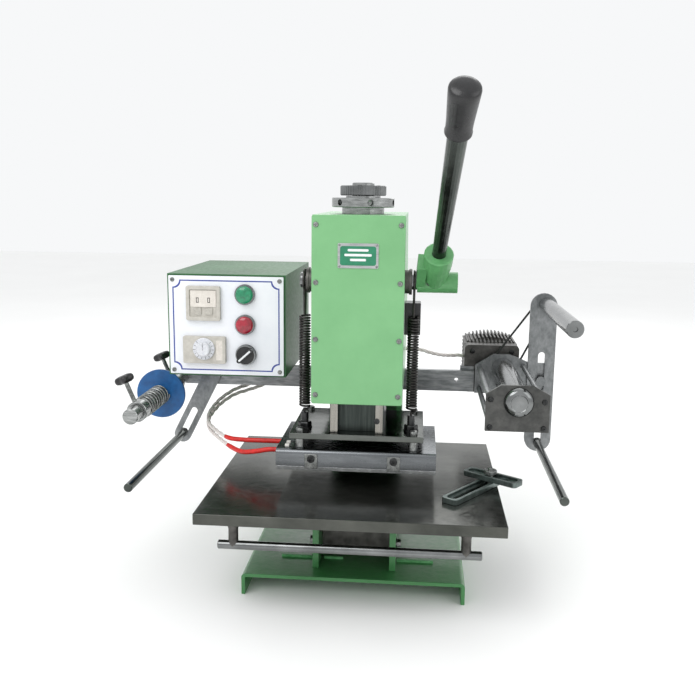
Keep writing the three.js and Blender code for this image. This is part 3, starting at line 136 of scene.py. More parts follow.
def piece(name, shape, material, body, replaces=(), bevel=0.0, smooth=35):
    """Turns a bmesh into a named piece with softened edges that rides on a body."""
    mesh = bpy.data.meshes.new(name)
    bmesh.ops.recalc_face_normals(shape, faces=shape.faces)
    shape.to_mesh(mesh)
    shape.free()
    mesh.materials.append(material)
    mesh.shade_smooth()
    mesh.set_sharp_from_angle(angle=math.radians(smooth))
    made = bpy.data.objects.new(name, mesh)
    bpy.context.scene.collection.objects.link(made)
    if bevel:
        edge = made.modifiers.new("edge", "BEVEL")
        edge.width = bevel
        edge.segments = 2
        edge.limit_method = "ANGLE"
        edge.angle_limit = math.radians(smooth)
        edge.harden_normals = True
    if isinstance(body, str):
        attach(made, body)
    for node in replaces:
        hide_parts(node)
    return made


def smooth_path(points, steps):
    """A Catmull-Rom curve through the points, as steps + 1 points evenly spaced along it."""
    knots = [Vector(p) for p in points]
    knots = [2 * knots[0] - knots[1]] + knots + [2 * knots[-1] - knots[-2]]
    fine = []
    for a, b, c, d in zip(knots, knots[1:], knots[2:], knots[3:]):
        for i in range(24):
            t = i / 24
            fine.append(0.5 * (2 * b + (c - a) * t + (2 * a - 5 * b + 4 * c - d) * t * t
                               + (3 * b - a - 3 * c + d) * t * t * t))
    fine.append(knots[-2])
    lengths = [0.0]
    for a, b in zip(fine, fine[1:]):
        lengths.append(lengths[-1] + (b - a).length)
    even = []
    j = 0
    for i in range(steps + 1):
        want = lengths[-1] * i / steps
        while j < len(fine) - 2 and lengths[j + 1] < want:
            j += 1
        gap = lengths[j + 1] - lengths[j]
        even.append(fine[j].lerp(fine[j + 1], (want - lengths[j]) / gap if gap else 0))
    return even


def path_length(points):
    """The length along a row of points."""
    return sum((b - a).length for a, b in zip(points, points[1:]))


def sweep(shape, points, radius, sides=12, closed=False):
    """Adds a round tube along points to a bmesh. radius is a number or a function of the share along it."""
    count = len(points)
    normal = None
    rings = []
    for i, point in enumerate(points):
        if closed:
            ahead = (points[(i + 1) % count] - points[i - 1]).normalized()
        else:
            ahead = (points[min(i + 1, count - 1)] - points[max(i - 1, 0)]).normalized()
        if normal is None:
            normal = ahead.orthogonal().normalized()
        normal = (normal - ahead * normal.dot(ahead)).normalized()
        across = ahead.cross(normal)
        size = radius(i / (count - 1)) if callable(radius) else radius
        rings.append([
            shape.verts.new(point + size * (math.cos(a) * normal + math.sin(a) * across))
            for a in (2 * math.pi * k / sides for k in range(sides))
        ])
    pairs = list(zip(rings, rings[1:])) + ([(rings[-1], rings[0])] if closed else [])
    for one, two in pairs:
        for k in range(sides):
            shape.faces.new((one[k], one[(k + 1) % sides], two[(k + 1) % sides], two[k]))
    if not closed:
        shape.faces.new(rings[0][::-1])
        shape.faces.new(rings[-1])


def strands(shape, points, offset, radius, wires, pitch, sides=8):
    """Adds wires that wind round a path at an offset, one turn per pitch."""
    total = path_length(points)
    normal = None
    frames = []
    for i, point in enumerate(points):
        ahead = (points[min(i + 1, len(points) - 1)] - points[max(i - 1, 0)]).normalized()
        if normal is None:
            normal = ahead.orthogonal().normalized()
        normal = (normal - ahead * normal.dot(ahead)).normalized()
        frames.append((point, normal.copy(), ahead.cross(normal)))
    for wire in range(wires):
        line = []
        for i, (point, one, two) in enumerate(frames):
            turn = 2 * math.pi * (wire / wires + total / pitch * i / (len(frames) - 1))
            line.append(point + offset * (math.cos(turn) * one + math.sin(turn) * two))
        sweep(shape, line, radius, sides)


# Braided glass fibre: dull, off-white, with a diagonal weave about 1 mm apart, drawn coarser than
# the real braid.
glass_fibre = surface("glass_fibre_braid", "#F2EDEA", "#CFC6C2", 1.2 * mm, (0.65, 0.85), bump=0.5, fine=1.5)
# Silicone rubber sleeve: saturated red, soft gloss, smooth.
red_silicone = surface("red_silicone_sleeve", "#E02A22", "#B81914", 6 * mm, (0.32, 0.5), bump=0.08,
                       specular_ior_level=0.5)
WIRES, WIRE_OFFSET, WIRE_RADIUS = 3, 1.5 * mm, 1.45 * mm
HEATER_TWIST, MOTOR_TWIST = 46 * mm, 40 * mm
# Steps of the route: where the sleeve begins, and two more along the lead.
SLEEVE_STEP, STILL_STEP, MOVING_STEP = 112, 30, 135
# The machine's own origin, on the centre plane of the head, seen from the frame's.
shift = Vector((23.9014, 10.1418, 0)) * mm
front_route = [(-151, 190, 263.2), (-151, 190, 252), (-154, 189, 232), (-169, 184, 214), (-191, 176, 206),
               (-212, 159, 201), (-228, 137, 192), (-236, 111, 183), (-236, 84, 177), (-226, 54, 173),
               (-206, 23, 170), (-181, -11, 168), (-159, -36, 169), (-138, -48, 174), (-120, -52, 178.5),
               (-104.3, -52, 179)]
rear_route = [(-159, 190, 263.2), (-159, 190, 254), (-162, 189, 238), (-174, 184.5, 222.5), (-193, 177, 214),
              (-212, 160, 209), (-228, 138, 200), (-236, 112, 191), (-236, 85, 185), (-227, 56, 181),
              (-208, 27, 178), (-185, 0, 177), (-161, -10, 178), (-140, -14, 179), (-122, -14, 179),
              (-104.3, -14, 179)]
for name, route in (("heater_lead_front", front_route), ("heater_lead_rear", rear_route)):
    line = smooth_path([Vector(p) * mm + shift for p in route], 150)
    bundle = bmesh.new()
    strands(bundle, line, WIRE_OFFSET, WIRE_RADIUS, WIRES, HEATER_TWIST)
    bundle = piece(name + "_wires", bundle, glass_fibre, None, [name])
    sleeve = bmesh.new()
    sweep(sleeve, line[SLEEVE_STEP:], lambda t: (3.3 - 0.5 * max(0, 1 - 12 * t)) * mm, 16)
    sleeve = piece(name + "_sleeve", sleeve, red_silicone, None)
    for part in (bundle, sleeve):
        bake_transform(part)

# ------------------------------------------------------------ motor lead
# A short white lead from a gland in the head casing to the terminal side of the gear motor.
motor_route = [(58.8, 130, 288), (70, 130, 288), (82, 134, 286), (94, 143, 281), (106, 155, 276),
               (117, 169, 272), (128, 184, 269), (139, 192, 268), (149.7, 192, 268)]
line = smooth_path([Vector(p) * mm + shift for p in motor_route], 60)
bundle = bmesh.new()
strands(bundle, line, WIRE_OFFSET, WIRE_RADIUS, WIRES, MOTOR_TWIST)
bundle = piece("motor_lead_wires", bundle, glass_fibre, "frame", ["motor_lead"])

# ------------------------------------------------------------ base and cheeks
# A 5 mm steel sheet bent down along both sides, and two thick cheek plates that stand on it, all sprayed with
# dark green gloss enamel. Short angle strips are welded on the plate against the cheeks.


def upright(x, y, z=0.0):
    """Places a shape made about +Z where it stands."""
    return Matrix.Translation((x, y, z))


def along_x(y, z, x=0.0):
    """Places a shape made about +Z so that its axis lies along +X."""
    return Matrix.Translation((x, y, z)) @ Matrix.Rotation(math.pi / 2, 4, "Y")


def along_y(x, z, y=0.0):
    """Places a shape made about +Z so that its axis lies along +Y."""
    return Matrix.Translation((x, y, z)) @ Matrix.Rotation(-math.pi / 2, 4, "X")


def to_front(spot):
    """Places a shape made about +Z so that it faces the operator, along -Y."""
    return Matrix.Translation(spot) @ Matrix.Rotation(math.pi / 2, 4, "X")


def recoat(material, *nodes):
    """Gives CAD nodes that keep their shape a finish."""
    for node in nodes:
        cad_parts[node].material_slots[0].material = material


def slab(shape, x0, x1, y0, y1, z0, z1, place=None):
    """Adds a box between two corners."""
    made = bmesh.ops.create_cube(shape, size=1.0)["verts"]
    for vert in made:
        vert.co = Vector((
            x0 + (vert.co.x + 0.5) * (x1 - x0), y0 + (vert.co.y + 0.5) * (y1 - y0),
                          z0 + (vert.co.z + 0.5) * (z1 - z0)))
        if place:
            vert.co = place @ vert.co
    return made


def prism(shape, outline, low, high, place):
    """Adds an outline in the local XY plane, drawn out along local Z from low to high."""
    bottom = [shape.verts.new(place @ Vector((x, y, low))) for x, y in outline]
    top = [shape.verts.new(place @ Vector((x, y, high))) for x, y in outline]
    shape.faces.new(bottom[::-1])
    shape.faces.new(top)
    for i in range(len(outline)):
        j = (i + 1) % len(outline)
        shape.faces.new((bottom[i], bottom[j], top[j], top[i]))


def arc(x, y, radius, start, stop, steps=8):
    """Points on an arc, in degrees."""
    return [
        (x + radius * math.cos(math.radians(start + (stop - start) * i / steps)),
         y + radius * math.sin(math.radians(start + (stop - start) * i / steps)))
        for i in range(steps + 1)
    ]


# Dark green gloss enamel over steel: orange-peel relief drawn coarse, about 8 mm apart, and a little
# paler where it is rubbed.
dark_enamel = surface("dark_green_enamel", "#40844A", "#32733C", 60 * mm, (0.3, 0.46), bump=0.06, fine=8.0,
                      coat_weight=0.35, coat_roughness=0.2)
x0, x1, y0, y1, z0, z1 = span("base_plate")
sheet = 5 * mm
bend = 6 * mm
outline = arc(x0 + bend, z1 - bend, bend, 180, 90) + arc(x1 - bend, z1 - bend, bend, 90, 0)
outline += [(x1, z0), (x1 - sheet, z0)]
outline += [(x1 - sheet, z1 - bend), (x1 - bend, z1 - sheet), (x0 + bend, z1 - sheet),
            (x0 + sheet, z1 - bend)]
outline += [(x0 + sheet, z0), (x0, z0)]
base = bmesh.new()
prism(base, outline, 0, y1 - y0, to_front((0, y1, 0)))
piece("base_plate_bent", base, dark_enamel, "frame", ["base_plate"], 0.7 * mm)
recoat(dark_enamel, "frame_cheek_left", "frame_cheek_right", "column_back_plate")
cheek_left = span("frame_cheek_left")
cheek_right = span("frame_cheek_right")
strips = bmesh.new()
for start, stop in ((cheek_left[0] - 46 * mm, cheek_left[0] - 4 * mm),
                    (cheek_left[1] + 4 * mm, cheek_left[1] + 30 * mm),
                    (cheek_right[1] + 1 * mm, cheek_right[1] + 50 * mm)):
    slab(strips, start, stop, cheek_left[2] + 30 * mm, cheek_left[2] + 34 * mm, z1 - 0.5 * mm, z1 + 3 * mm)
# Paler green: a painted highlight, the lit front edges of the strips drawn into their colour.
painted_highlight_enamel = surface("painted_highlight_green_enamel", "#7CC487", "#4F9F5E", 9 * mm, (0.4, 0.6), bump=0.1)
piece("base_weld_strips", strips, painted_highlight_enamel, "frame", (), 0.6 * mm)


def hex_head(shape, place, across, height):
    """Adds a hexagon head or nut about local Z, with a chamfered top."""
    radius = across / math.sqrt(3)
    corners = [(radius * math.cos(math.pi / 3 * i), radius * math.sin(math.pi / 3 * i)) for i in range(6)]
    rings = [(1.0, 0.0), (1.0, height * 0.8), (0.86, height)]
    levels = [[shape.verts.new(place @ Vector((x * k, y * k, z))) for x, y in corners] for k, z in rings]
    for one, two in zip(levels, levels[1:]):
        for i in range(6):
            shape.faces.new((one[i], one[(i + 1) % 6], two[(i + 1) % 6], two[i]))
    shape.faces.new(levels[0][::-1])
    shape.faces.new(levels[-1])


def turned(shape, profile, place, sides=48, ripple=None):
    """Adds a solid of revolution about local Z. The profile is radius, height pairs from axis to axis.
    ripple maps an angle to a factor on every radius."""
    rings = []
    for radius, height in profile:
        if radius <= 1e-9:
            rings.append([shape.verts.new(place @ Vector((0, 0, height)))])
            continue
        ring = []
        for k in range(sides):
            angle = 2 * math.pi * k / sides
            size = radius * (ripple(angle) if ripple else 1.0)
            spot = Vector((size * math.cos(angle), size * math.sin(angle), height))
            ring.append(shape.verts.new(place @ spot))
        rings.append(ring)
    for one, two in zip(rings, rings[1:]):
        for k in range(sides):
            j = (k + 1) % sides
            if len(one) == 1 and len(two) == 1:
                continue
            if len(one) == 1:
                shape.faces.new((one[0], two[j], two[k]))
            elif len(two) == 1:
                shape.faces.new((one[k], one[j], two[0]))
            else:
                shape.faces.new((one[k], one[j], two[j], two[k]))


def pin(radius, low, high):
    """The profile of a plain round pin."""
    return [(0, low), (radius, low), (radius, high), (0, high)]


def round_bar(radius, low, high, edge):
    """The profile of a round bar with a chamfer at both ends."""
    return [(0, low), (radius - edge, low), (radius, low + edge), (radius, high - edge),
            (radius - edge, high),
            (0, high)]


# Zinc-plated fasteners: pale bright steel with a faint bloom.
zinc = surface("zinc_plated_steel", "#A3A5A3", "#6E706F", 5 * mm, (0.22, 0.4), 1.0, bump=0.05)
bolts = bmesh.new()
CHEEK_BOLT_Z = 57 * mm
for side, x in ((-1, cheek_left[0]), (1, cheek_right[1])):
    for y in (cheek_left[2] + 28 * mm, cheek_left[2] + 190 * mm):
        place = Matrix.Translation((x, y, CHEEK_BOLT_Z)) @ Matrix.Rotation(side * math.pi / 2, 4, "Y")
        turned(bolts, pin(6.5 * mm, 0, 1.2 * mm), place, 24)
        hex_head(bolts, place @ Matrix.Translation((0, 0, 1.2 * mm)), 10 * mm, 5.5 * mm)
piece("cheek_bolts", bolts, zinc, "frame", (), 0.2 * mm)

# ------------------------------------------------------------ table, rail and pull bar
# A ground steel plate, blackened and oiled, that slides on a flat rail. A bright drawn bar on two turned
# posts is screwed under its front edge, to pull it out.
# Blackened ground steel: brown-grey with long faint grinding marks across the table, half gloss.
table_steel = surface("blackened_ground_steel", "#63645F", "#41433F", 90 * mm, (0.14, 0.26), 0.9, bump=0.006,
                      stretch=(1.0, 0.7, 1.0), fine=12.0)
# Plain machined steel that is never seen clean: grey, matt, oily.
machined_steel = surface("oiled_machined_steel", "#6E6C69", "#3F3E3C", 14 * mm, (0.35, 0.55), 0.9, bump=0.06)
x0, x1, y0, y1, z0, z1 = span("table_plate")
plate = bmesh.new()
slab(plate, x0, x1, y0, y1, z0, z1)
piece("table_plate_ground", plate, table_steel, "table", ["table_plate"], 0.9 * mm)
recoat(machined_steel, "table_bed", "table_runner", "ram_guide", "pinion", "ram_rack")
# Bright drawn bar: near-white highlights, fine lines along it.
bright_bar = surface("bright_drawn_steel", "#8E9090", "#6B6D6D", 40 * mm, (0.12, 0.2), 1.0, bump=0.003,
                     stretch=(1, 2, 1), fine=12.0)
x0, x1, y0, y1, z0, z1 = span("pull_handle")
bar_radius = 5.5 * mm
bar_z = z0 + bar_radius
bar_y = (y0 + y1) / 2
pull = bmesh.new()
turned(pull, round_bar(bar_radius, x0, x1, 0.8 * mm), along_x(bar_y, bar_z), 48)
piece("pull_bar", pull, bright_bar, "table", ["pull_handle"])
posts = bmesh.new()
post_inset = 19 * mm
for x in (x0 + post_inset, x1 - post_inset):
    turned(posts,
           [(0, bar_z - 1 * mm), (5.4 * mm, bar_z - 1 * mm), (6 * mm, bar_z + bar_radius - 1 * mm),
            (6 * mm, z1 - 6 * mm),
                   (7.5 * mm, z1 - 1 * mm), (7.5 * mm, z1), (0, z1)], upright(x, bar_y), 40)
piece("pull_posts", posts, machined_steel, "table")

# ------------------------------------------------------------ register gauge
# Two milled steel channel bars with a long slot each, crossed on a stud. A knurled nut on a washer clamps
# them at the angle that the work needs.


def smooth_box(outline_x0, outline_x1, outline_y0, outline_y1, radius, steps=5):
    """A rounded rectangle outline."""
    return (
        arc(outline_x1 - radius, outline_y0 + radius, radius, -90, 0, steps)
        + arc(outline_x1 - radius, outline_y1 - radius, radius, 0, 90, steps)
        + arc(outline_x0 + radius, outline_y1 - radius, radius, 90, 180, steps)
        + arc(outline_x0 + radius, outline_y0 + radius, radius, 180, 270, steps)
    )


def stadium(ax, ay, bx, by, radius, steps=14):
    """The outline of a slot or of a plate with round ends, from a to b."""
    angle = math.degrees(math.atan2(by - ay, bx - ax))
    return arc(bx, by, radius, angle - 90, angle + 90, steps) + arc(ax, ay, radius, angle + 90, angle + 270,
                                                                    steps)


def drill(target, tool):
    """Cuts a bmesh out of a piece."""
    mesh = bpy.data.meshes.new("tool")
    bmesh.ops.recalc_face_normals(tool, faces=tool.faces)
    tool.to_mesh(mesh)
    tool.free()
    cutter = bpy.data.objects.new("tool", mesh)
    bpy.context.scene.collection.objects.link(cutter)
    hole = target.modifiers.new("hole", "BOOLEAN")
    hole.operation = "DIFFERENCE"
    hole.solver = "EXACT"
    hole.object = cutter
    while target.modifiers[0] != hole:
        bpy.context.view_layer.objects.active = target
        target.modifiers.move(len(target.modifiers) - 1, 0)
    saved = [(m, m.show_viewport) for m in target.modifiers if m != hole]
    for modifier, _ in saved:
        modifier.show_viewport = False
    bpy.context.view_layer.update()
    cut = bpy.data.meshes.new_from_object(target.evaluated_get(bpy.context.evaluated_depsgraph_get()))
    for modifier, shown in saved:
        modifier.show_viewport = shown
    target.modifiers.remove(hole)
    target.data = cut
    cut.shade_smooth()
    cut.set_sharp_from_angle(angle=math.radians(35))
    bpy.data.objects.remove(cutter)


# Ground flat steel: pale grey, fine cross grain, a few darker stains.
ground_steel = surface("ground_flat_steel", "#7F8A87", "#56605D", 12 * mm, (0.28, 0.46), 1.0, bump=0.05,
                       stretch=(1, 1, 3))
low_box = span("gauge_lower_bar")
high_box = span("gauge_upper_bar")
channel_height = high_box[5] - high_box[4]
GAUGE_WIDTH = 23 * mm
LOWER_ANGLE, UPPER_ANGLE = 54, -36
pivot = Vector((177, -44, 0)) * mm + shift
for name, body, angle, back, ahead, bottom in (
    ("gauge_lower_bar", "table", LOWER_ANGLE, 98 * mm, 14 * mm, low_box[4]),
    ("gauge_upper_bar", "gauge_arm", UPPER_ANGLE, 36 * mm, 44 * mm, high_box[4]),
):
    place = Matrix.Translation((pivot.x, pivot.y, bottom)) @ Matrix.Rotation(math.radians(angle), 4, "Z")
    half = GAUGE_WIDTH / 2
    channel = bmesh.new()
    prism(channel, smooth_box(-back, ahead, -half, half, 5 * mm), 0, channel_height, place)
    channel = piece(name + "_channel", channel, ground_steel, body, [name], 0.4 * mm)
    groove = bmesh.new()
    prism(groove, stadium(-back + 11 * mm, 0, ahead - 11 * mm, 0, half - 4 * mm), 3 * mm, 20 * mm, place)
    drill(channel, groove)
    groove = bmesh.new()
    prism(groove, stadium(-back + 13 * mm, 0, ahead - 13 * mm, 0, 4.3 * mm), -5 * mm, 20 * mm, place)
    drill(channel, groove)
stud = bmesh.new()
nut_base = high_box[5] + 0.2 * mm
place = upright(pivot.x, pivot.y)
turned(stud,
       [(0, low_box[4]), (4 * mm, low_box[4]), (4 * mm, nut_base), (3.4 * mm, nut_base),
        (3.4 * mm, low_box[5] - 0.8 * mm),
              (2.6 * mm, low_box[5]), (0, low_box[5])], place, 32)
turned(stud, pin(7 * mm, nut_base, nut_base + 1 * mm), place, 40)
turned(stud,
       [(0, nut_base + 1 * mm), (8.4 * mm, nut_base + 1 * mm), (9 * mm, nut_base + 1.6 * mm),
        (9 * mm, nut_base + 5 * mm),
              (8.2 * mm, nut_base + 5.8 * mm), (0, nut_base + 5.8 * mm)], place, 96,
       lambda a: 1 - 0.03 * (math.sin(24 * a) > 0))
piece("gauge_stud_and_nut", stud, zinc, "table")

# ------------------------------------------------------------ head casing and front cover
# A folded steel casing with a flat cover held by eight cross-slotted screws, sprayed a pale mint green, half
# gloss. A blank anodised plate is riveted on the cover.
# Pale green gloss enamel: faint orange peel about 4 mm apart, clear coat-like shine.
mint_enamel = surface("mint_green_enamel", "#7AB57D", "#6FAA73", 70 * mm, (0.3, 0.4), bump=0.03, fine=18.0,
                      coat_weight=0.25, coat_roughness=0.22)
recoat(mint_enamel, "head_casing")
x0, x1, y0, y1, z0, z1 = span("front_cover")
cover = bmesh.new()
prism(cover, smooth_box(x0, x1, z0, z1, 3 * mm), 0, y1 - y0, to_front((0, y1, 0)))
piece("front_cover_plate", cover, mint_enamel, "frame", ["front_cover"], 0.8 * mm)
cover_front = y0


def pan_screws(name, spots, radius, direction, material, body, turn=35):
    """Cross-slotted pan-head screws at the given points, their heads facing a direction."""
    heads = bmesh.new()
    slots = bmesh.new()
    for k, spot in enumerate(spots):
        place = Matrix.Translation(spot) @ Vector(direction).to_track_quat("Z", "X").to_matrix().to_4x4()
        height = radius * 0.55
        turned(heads,
               [(0, -0.4 * mm), (radius, -0.4 * mm), (radius, height * 0.35), (radius * 0.82, height * 0.8),
                       (radius * 0.5, height), (0, height)], place, 28)
        place = place @ Matrix.Rotation(math.radians(turn + 47 * k), 4, "Z")
        arm, half = radius * 0.62, radius * 0.13
        cross = [(half, -arm), (half, -half), (arm, -half), (arm, half), (half, half), (half, arm),
                 (-half, arm), (-half, half), (-arm, half), (-arm, -half), (-half, -half), (-half, -arm)]
        prism(slots, cross, height * 0.2, height * 2, place)
    made = piece(name, heads, material, body)
    drill(made, slots)
    return made


screw_rows = (z0 + 12 * mm, z0 + 84 * mm, z1 - 84 * mm, z1 - 12 * mm)
spots = [(x, cover_front, z) for x in (x0 + 5.5 * mm, x1 - 5.5 * mm) for z in screw_rows]
pan_screws("cover_screws", spots, 3.4 * mm, (0, -1, 0), zinc, "frame")
NAMEPLATE_WIDTH, NAMEPLATE_HEIGHT = 51 * mm, 31 * mm
plate_x = (x0 + x1) / 2
plate_z = z1 - 50 * mm
# Bare anodised aluminium with a green printed field: the field is blank.
anodised = surface("anodised_aluminium", "#CBCDCE", "#A5A7A8", 8 * mm, (0.25, 0.38), 1.0, bump=0.03,
                   stretch=(6, 1, 1))
green_print = surface("green_printed_field", "#1F8560", "#177250", 12 * mm, (0.3, 0.4), bump=0.01,
                      coat_weight=0.3)
facing = to_front((plate_x, cover_front, plate_z))
badge = bmesh.new()
prism(badge,
      smooth_box(-NAMEPLATE_WIDTH / 2, NAMEPLATE_WIDTH / 2, -NAMEPLATE_HEIGHT / 2, NAMEPLATE_HEIGHT / 2,
                 1.5 * mm),
      -0.2 * mm, 0.9 * mm, facing)
piece("nameplate", badge, anodised, "frame", (), 0.2 * mm)
field = bmesh.new()
prism(field,
      smooth_box(-NAMEPLATE_WIDTH / 2 + 3 * mm, NAMEPLATE_WIDTH / 2 - 3 * mm,
                 -NAMEPLATE_HEIGHT / 2 + 3.5 * mm,
                        NAMEPLATE_HEIGHT / 2 - 3.5 * mm, 3 * mm), 0.8 * mm, 1.1 * mm, facing)
piece("nameplate_field", field, green_print, "frame", (), 0.08 * mm)
bars = bmesh.new()
for k, width in enumerate((26, 34, 20)):
    prism(bars, smooth_box(-width / 2 * mm, width / 2 * mm, (5.5 - 6 * k) * mm, (8.5 - 6 * k) * mm, 1.2 * mm),
          1.0 * mm, 1.3 * mm, facing)
# White screen ink.
white_ink = surface("white_screen_ink", "#EDEFF0", "#E0E3E4", 6 * mm, (0.35, 0.45), bump=0.01)
piece("nameplate_bars", bars, white_ink, "frame", (), 0.05 * mm)
rivets = bmesh.new()
rivet_x, rivet_z = NAMEPLATE_WIDTH / 2 - 2.2 * mm, NAMEPLATE_HEIGHT / 2 - 2.2 * mm
for x in (-1, 1):
    for z in (-1, 1):
        turned(rivets, [(0, 0), (1.6 * mm, 0), (1.5 * mm, 0.9 * mm), (0.9 * mm, 1.5 * mm), (0, 1.7 * mm)],
               facing @ Matrix.Translation((x * rivet_x, z * rivet_z, 0.4 * mm)), 16)
piece("nameplate_rivets", rivets, zinc, "frame")

# ------------------------------------------------------------ neck, lock ring and height ring
# A turned screw neck through the top of the head. A round lock ring with tommy-bar holes clamps it, and a
# knurled ring above sets the depth of the stroke.
# Turned steel: circular tool marks, so the relief is fine and the gloss is high.
turned_steel = surface("turned_steel", "#B2B4B3", "#767877", 14 * mm, (0.2, 0.3), 1.0, bump=0.012,
                       stretch=(1, 1, 0.12))
# Chemically blackened turned steel: near black with worn lighter edges.
blackened_steel = surface("blackened_steel", "#4B4C4C", "#2A2B2C", 6 * mm, (0.25, 0.4), 0.9, bump=0.05)
recoat(turned_steel, "top_neck")
x0, x1, y0, y1, z0, z1 = span("lock_ring")
axis_x, axis_y = (x0 + x1) / 2, (y0 + y1) / 2
ring_radius = (x1 - x0) / 2
ring = bmesh.new()


def washer_profile(inner, outer, low, high, edge):
    """The closed profile of a ring with chamfered outer edges."""
    return [(inner, low), (outer - edge, low), (outer, low + edge), (outer, high - edge),
            (outer - edge, high),
            (inner, high), (inner, low)]


def hoop(shape, profile, place, sides=64, ripple=None):
    """Adds a closed ring of revolution: the profile's last point is its first."""
    rings = []
    for radius, height in profile[:-1]:
        ring_verts = []
        for k in range(sides):
            angle = 2 * math.pi * k / sides
            size = radius * (ripple(angle) if ripple and radius > profile[0][0] * 1.01 else 1.0)
            spot = Vector((size * math.cos(angle), size * math.sin(angle), height))
            ring_verts.append(shape.verts.new(place @ spot))
        rings.append(ring_verts)
    for one, two in zip(rings, rings[1:] + rings[:1]):
        for k in range(sides):
            j = (k + 1) % sides
            shape.faces.new((one[k], one[j], two[j], two[k]))


hoop(ring, washer_profile(24 * mm, ring_radius, z0, z1, 0.9 * mm), upright(axis_x, axis_y), 112)
ring = piece("lock_ring_turned", ring, turned_steel, "lock_ring", ["lock_ring"])
holes = bmesh.new()
for k in range(6):
    angle = math.radians(-73 + 60 * k)
    reach = Vector((math.cos(angle), math.sin(angle), 0))
    centre = Vector((axis_x, axis_y, (z0 + z1) / 2)) + reach * ring_radius
    place = Matrix.Translation(centre) @ reach.to_track_quat("Z", "Y").to_matrix().to_4x4()
    turned(holes, [(0, -11 * mm), (4 * mm, -9 * mm), (4 * mm, 3 * mm), (0, 3 * mm)], place, 24)
drill(ring, holes)
x0, x1, y0, y1, z0, z1 = span("height_screw")
RING_HEIGHT = 13 * mm
crown = z1 - 3.8 * mm
screw = bmesh.new()
turned(screw,
       [(0, z0), (13.8 * mm, z0), (14.6 * mm, z0 + 1 * mm), (14.6 * mm, z1 - 1 * mm), (13.6 * mm, z1),
        (0, z1)],
       upright(axis_x, axis_y), 64)
piece("height_screw_stem", screw, turned_steel, "height_screw", ["height_screw"])
knurl = bmesh.new()
hoop(knurl, washer_profile(14.4 * mm, (x1 - x0) / 2, crown - RING_HEIGHT, crown, 1.2 * mm),
     upright(axis_x, axis_y), 288,
     lambda a: 1 - 0.03 * (0.5 + 0.5 * math.cos(48 * a)))
piece("height_ring_knurled", knurl, bright_bar, "height_screw")
pins = bmesh.new()
for k in range(3):
    angle = math.radians(20 + 120 * k)
    turned(pins, pin(2.6 * mm, crown - 2 * mm, crown + 0.5 * mm),
           upright(axis_x + 21 * mm * math.cos(angle), axis_y + 21 * mm * math.sin(angle)), 20)
piece("height_ring_pins", pins, blackened_steel, "height_screw")

# ------------------------------------------------------------ shaft, bearings and hand lever
# A steel shaft runs across the head in two flanged bearings. On its right end a cast hub holds the lever rod,
# which carries a long moulded grip. Everything turns the pinion against the rack on the ram.
for side in ("left", "right"):
    x0, x1, y0, y1, z0, z1 = span("bearing_" + side)
    sign = -1 if side == "left" else 1
    inner = x1 if side == "left" else x0
    outer = x0 if side == "left" else x1
    radius = (z1 - z0) / 2
    bearing = bmesh.new()
    profile = [(10.3 * mm, inner), (radius - 1.5 * mm, inner), (radius - 1.5 * mm, outer - sign * 4 * mm),
               (radius, outer - sign * 3.6 * mm),
               (radius, outer - sign * 0.5 * mm), (radius - 0.5 * mm, outer), (10.3 * mm, outer),
               (10.3 * mm, inner)]
    hoop(bearing, profile, along_x((y0 + y1) / 2, (z0 + z1) / 2), 72)
    piece("bearing_" + side + "_flanged", bearing, machined_steel, "frame", ["bearing_" + side])
x0, x1, y0, y1, z0, z1 = span("lever_shaft")
shaft_y, shaft_z = (y0 + y1) / 2, (z0 + z1) / 2
shaft = bmesh.new()
shaft_radius = (z1 - z0) / 2
turned(shaft, round_bar(shaft_radius, x0, x1, 1 * mm), along_x(shaft_y, shaft_z), 64)
piece("lever_shaft_ground", shaft, bright_bar, "lever", ["lever_shaft"])
# Sand-cast iron, painted green: grain about 2 mm, a little darker in the hollows.
cast_enamel = surface("painted_cast_iron", "#5E9F64", "#4C8953", 12 * mm, (0.36, 0.5), bump=0.12, fine=5.0,
                      coat_weight=0.2)
HUB_X = 96 * mm + shift.x
LEVER_RISE, LEVER_LEAN = 42, 3.5
lever_place = (
    Matrix.Translation((HUB_X, shaft_y, shaft_z))
    @ Matrix.Rotation(math.radians(90 - LEVER_RISE), 4, "X")
    @ Matrix.Rotation(math.radians(LEVER_LEAN), 4, "Y")
)
recoat(cast_enamel, "lever_hub")
# The lever rod: cold-drawn bar, dark, tapering, with a bright oily shine.
rod_steel = surface("polished_dark_rod", "#5E635F", "#3F4341", 40 * mm, (0.16, 0.26), 1.0, bump=0.015)
recoat(rod_steel, "lever_rod")
# Black phenolic moulding: smooth, mid gloss, with a slight moulding ripple.
black_moulding = surface("black_phenolic_moulding", "#1D1D1F", "#101012", 16 * mm, (0.26, 0.4), bump=0.05,
                         coat_weight=0.15)
grip = bmesh.new()
turned(grip,
       [(0, 256 * mm), (12.6 * mm, 256 * mm), (14.4 * mm, 257.2 * mm), (14.6 * mm, 259.5 * mm),
        (13.8 * mm, 261.5 * mm), (14.3 * mm, 275 * mm),
              (16.3 * mm, 306 * mm), (16.6 * mm, 312.5 * mm), (16.1 * mm, 315 * mm), (14.6 * mm, 316.6 * mm),
              (9 * mm, 318.4 * mm), (0, 319 * mm)], lever_place, 72)
piece("lever_grip_moulded", grip, black_moulding, "lever", ["lever_grip"], 0, 50)
set_screw = bmesh.new()
hex_place = to_front((HUB_X - 7 * mm, shaft_y - 13 * mm, shaft_z))
turned(set_screw,
       [(0, -1 * mm), (3.4 * mm, -1 * mm), (3.4 * mm, 1.4 * mm), (2.6 * mm, 1.9 * mm), (1.7 * mm, 1.9 * mm),
                   (1.5 * mm, 0.4 * mm), (0, 0.4 * mm)], hex_place, 24)
piece("lever_hub_set_screw", set_screw, blackened_steel, "lever")

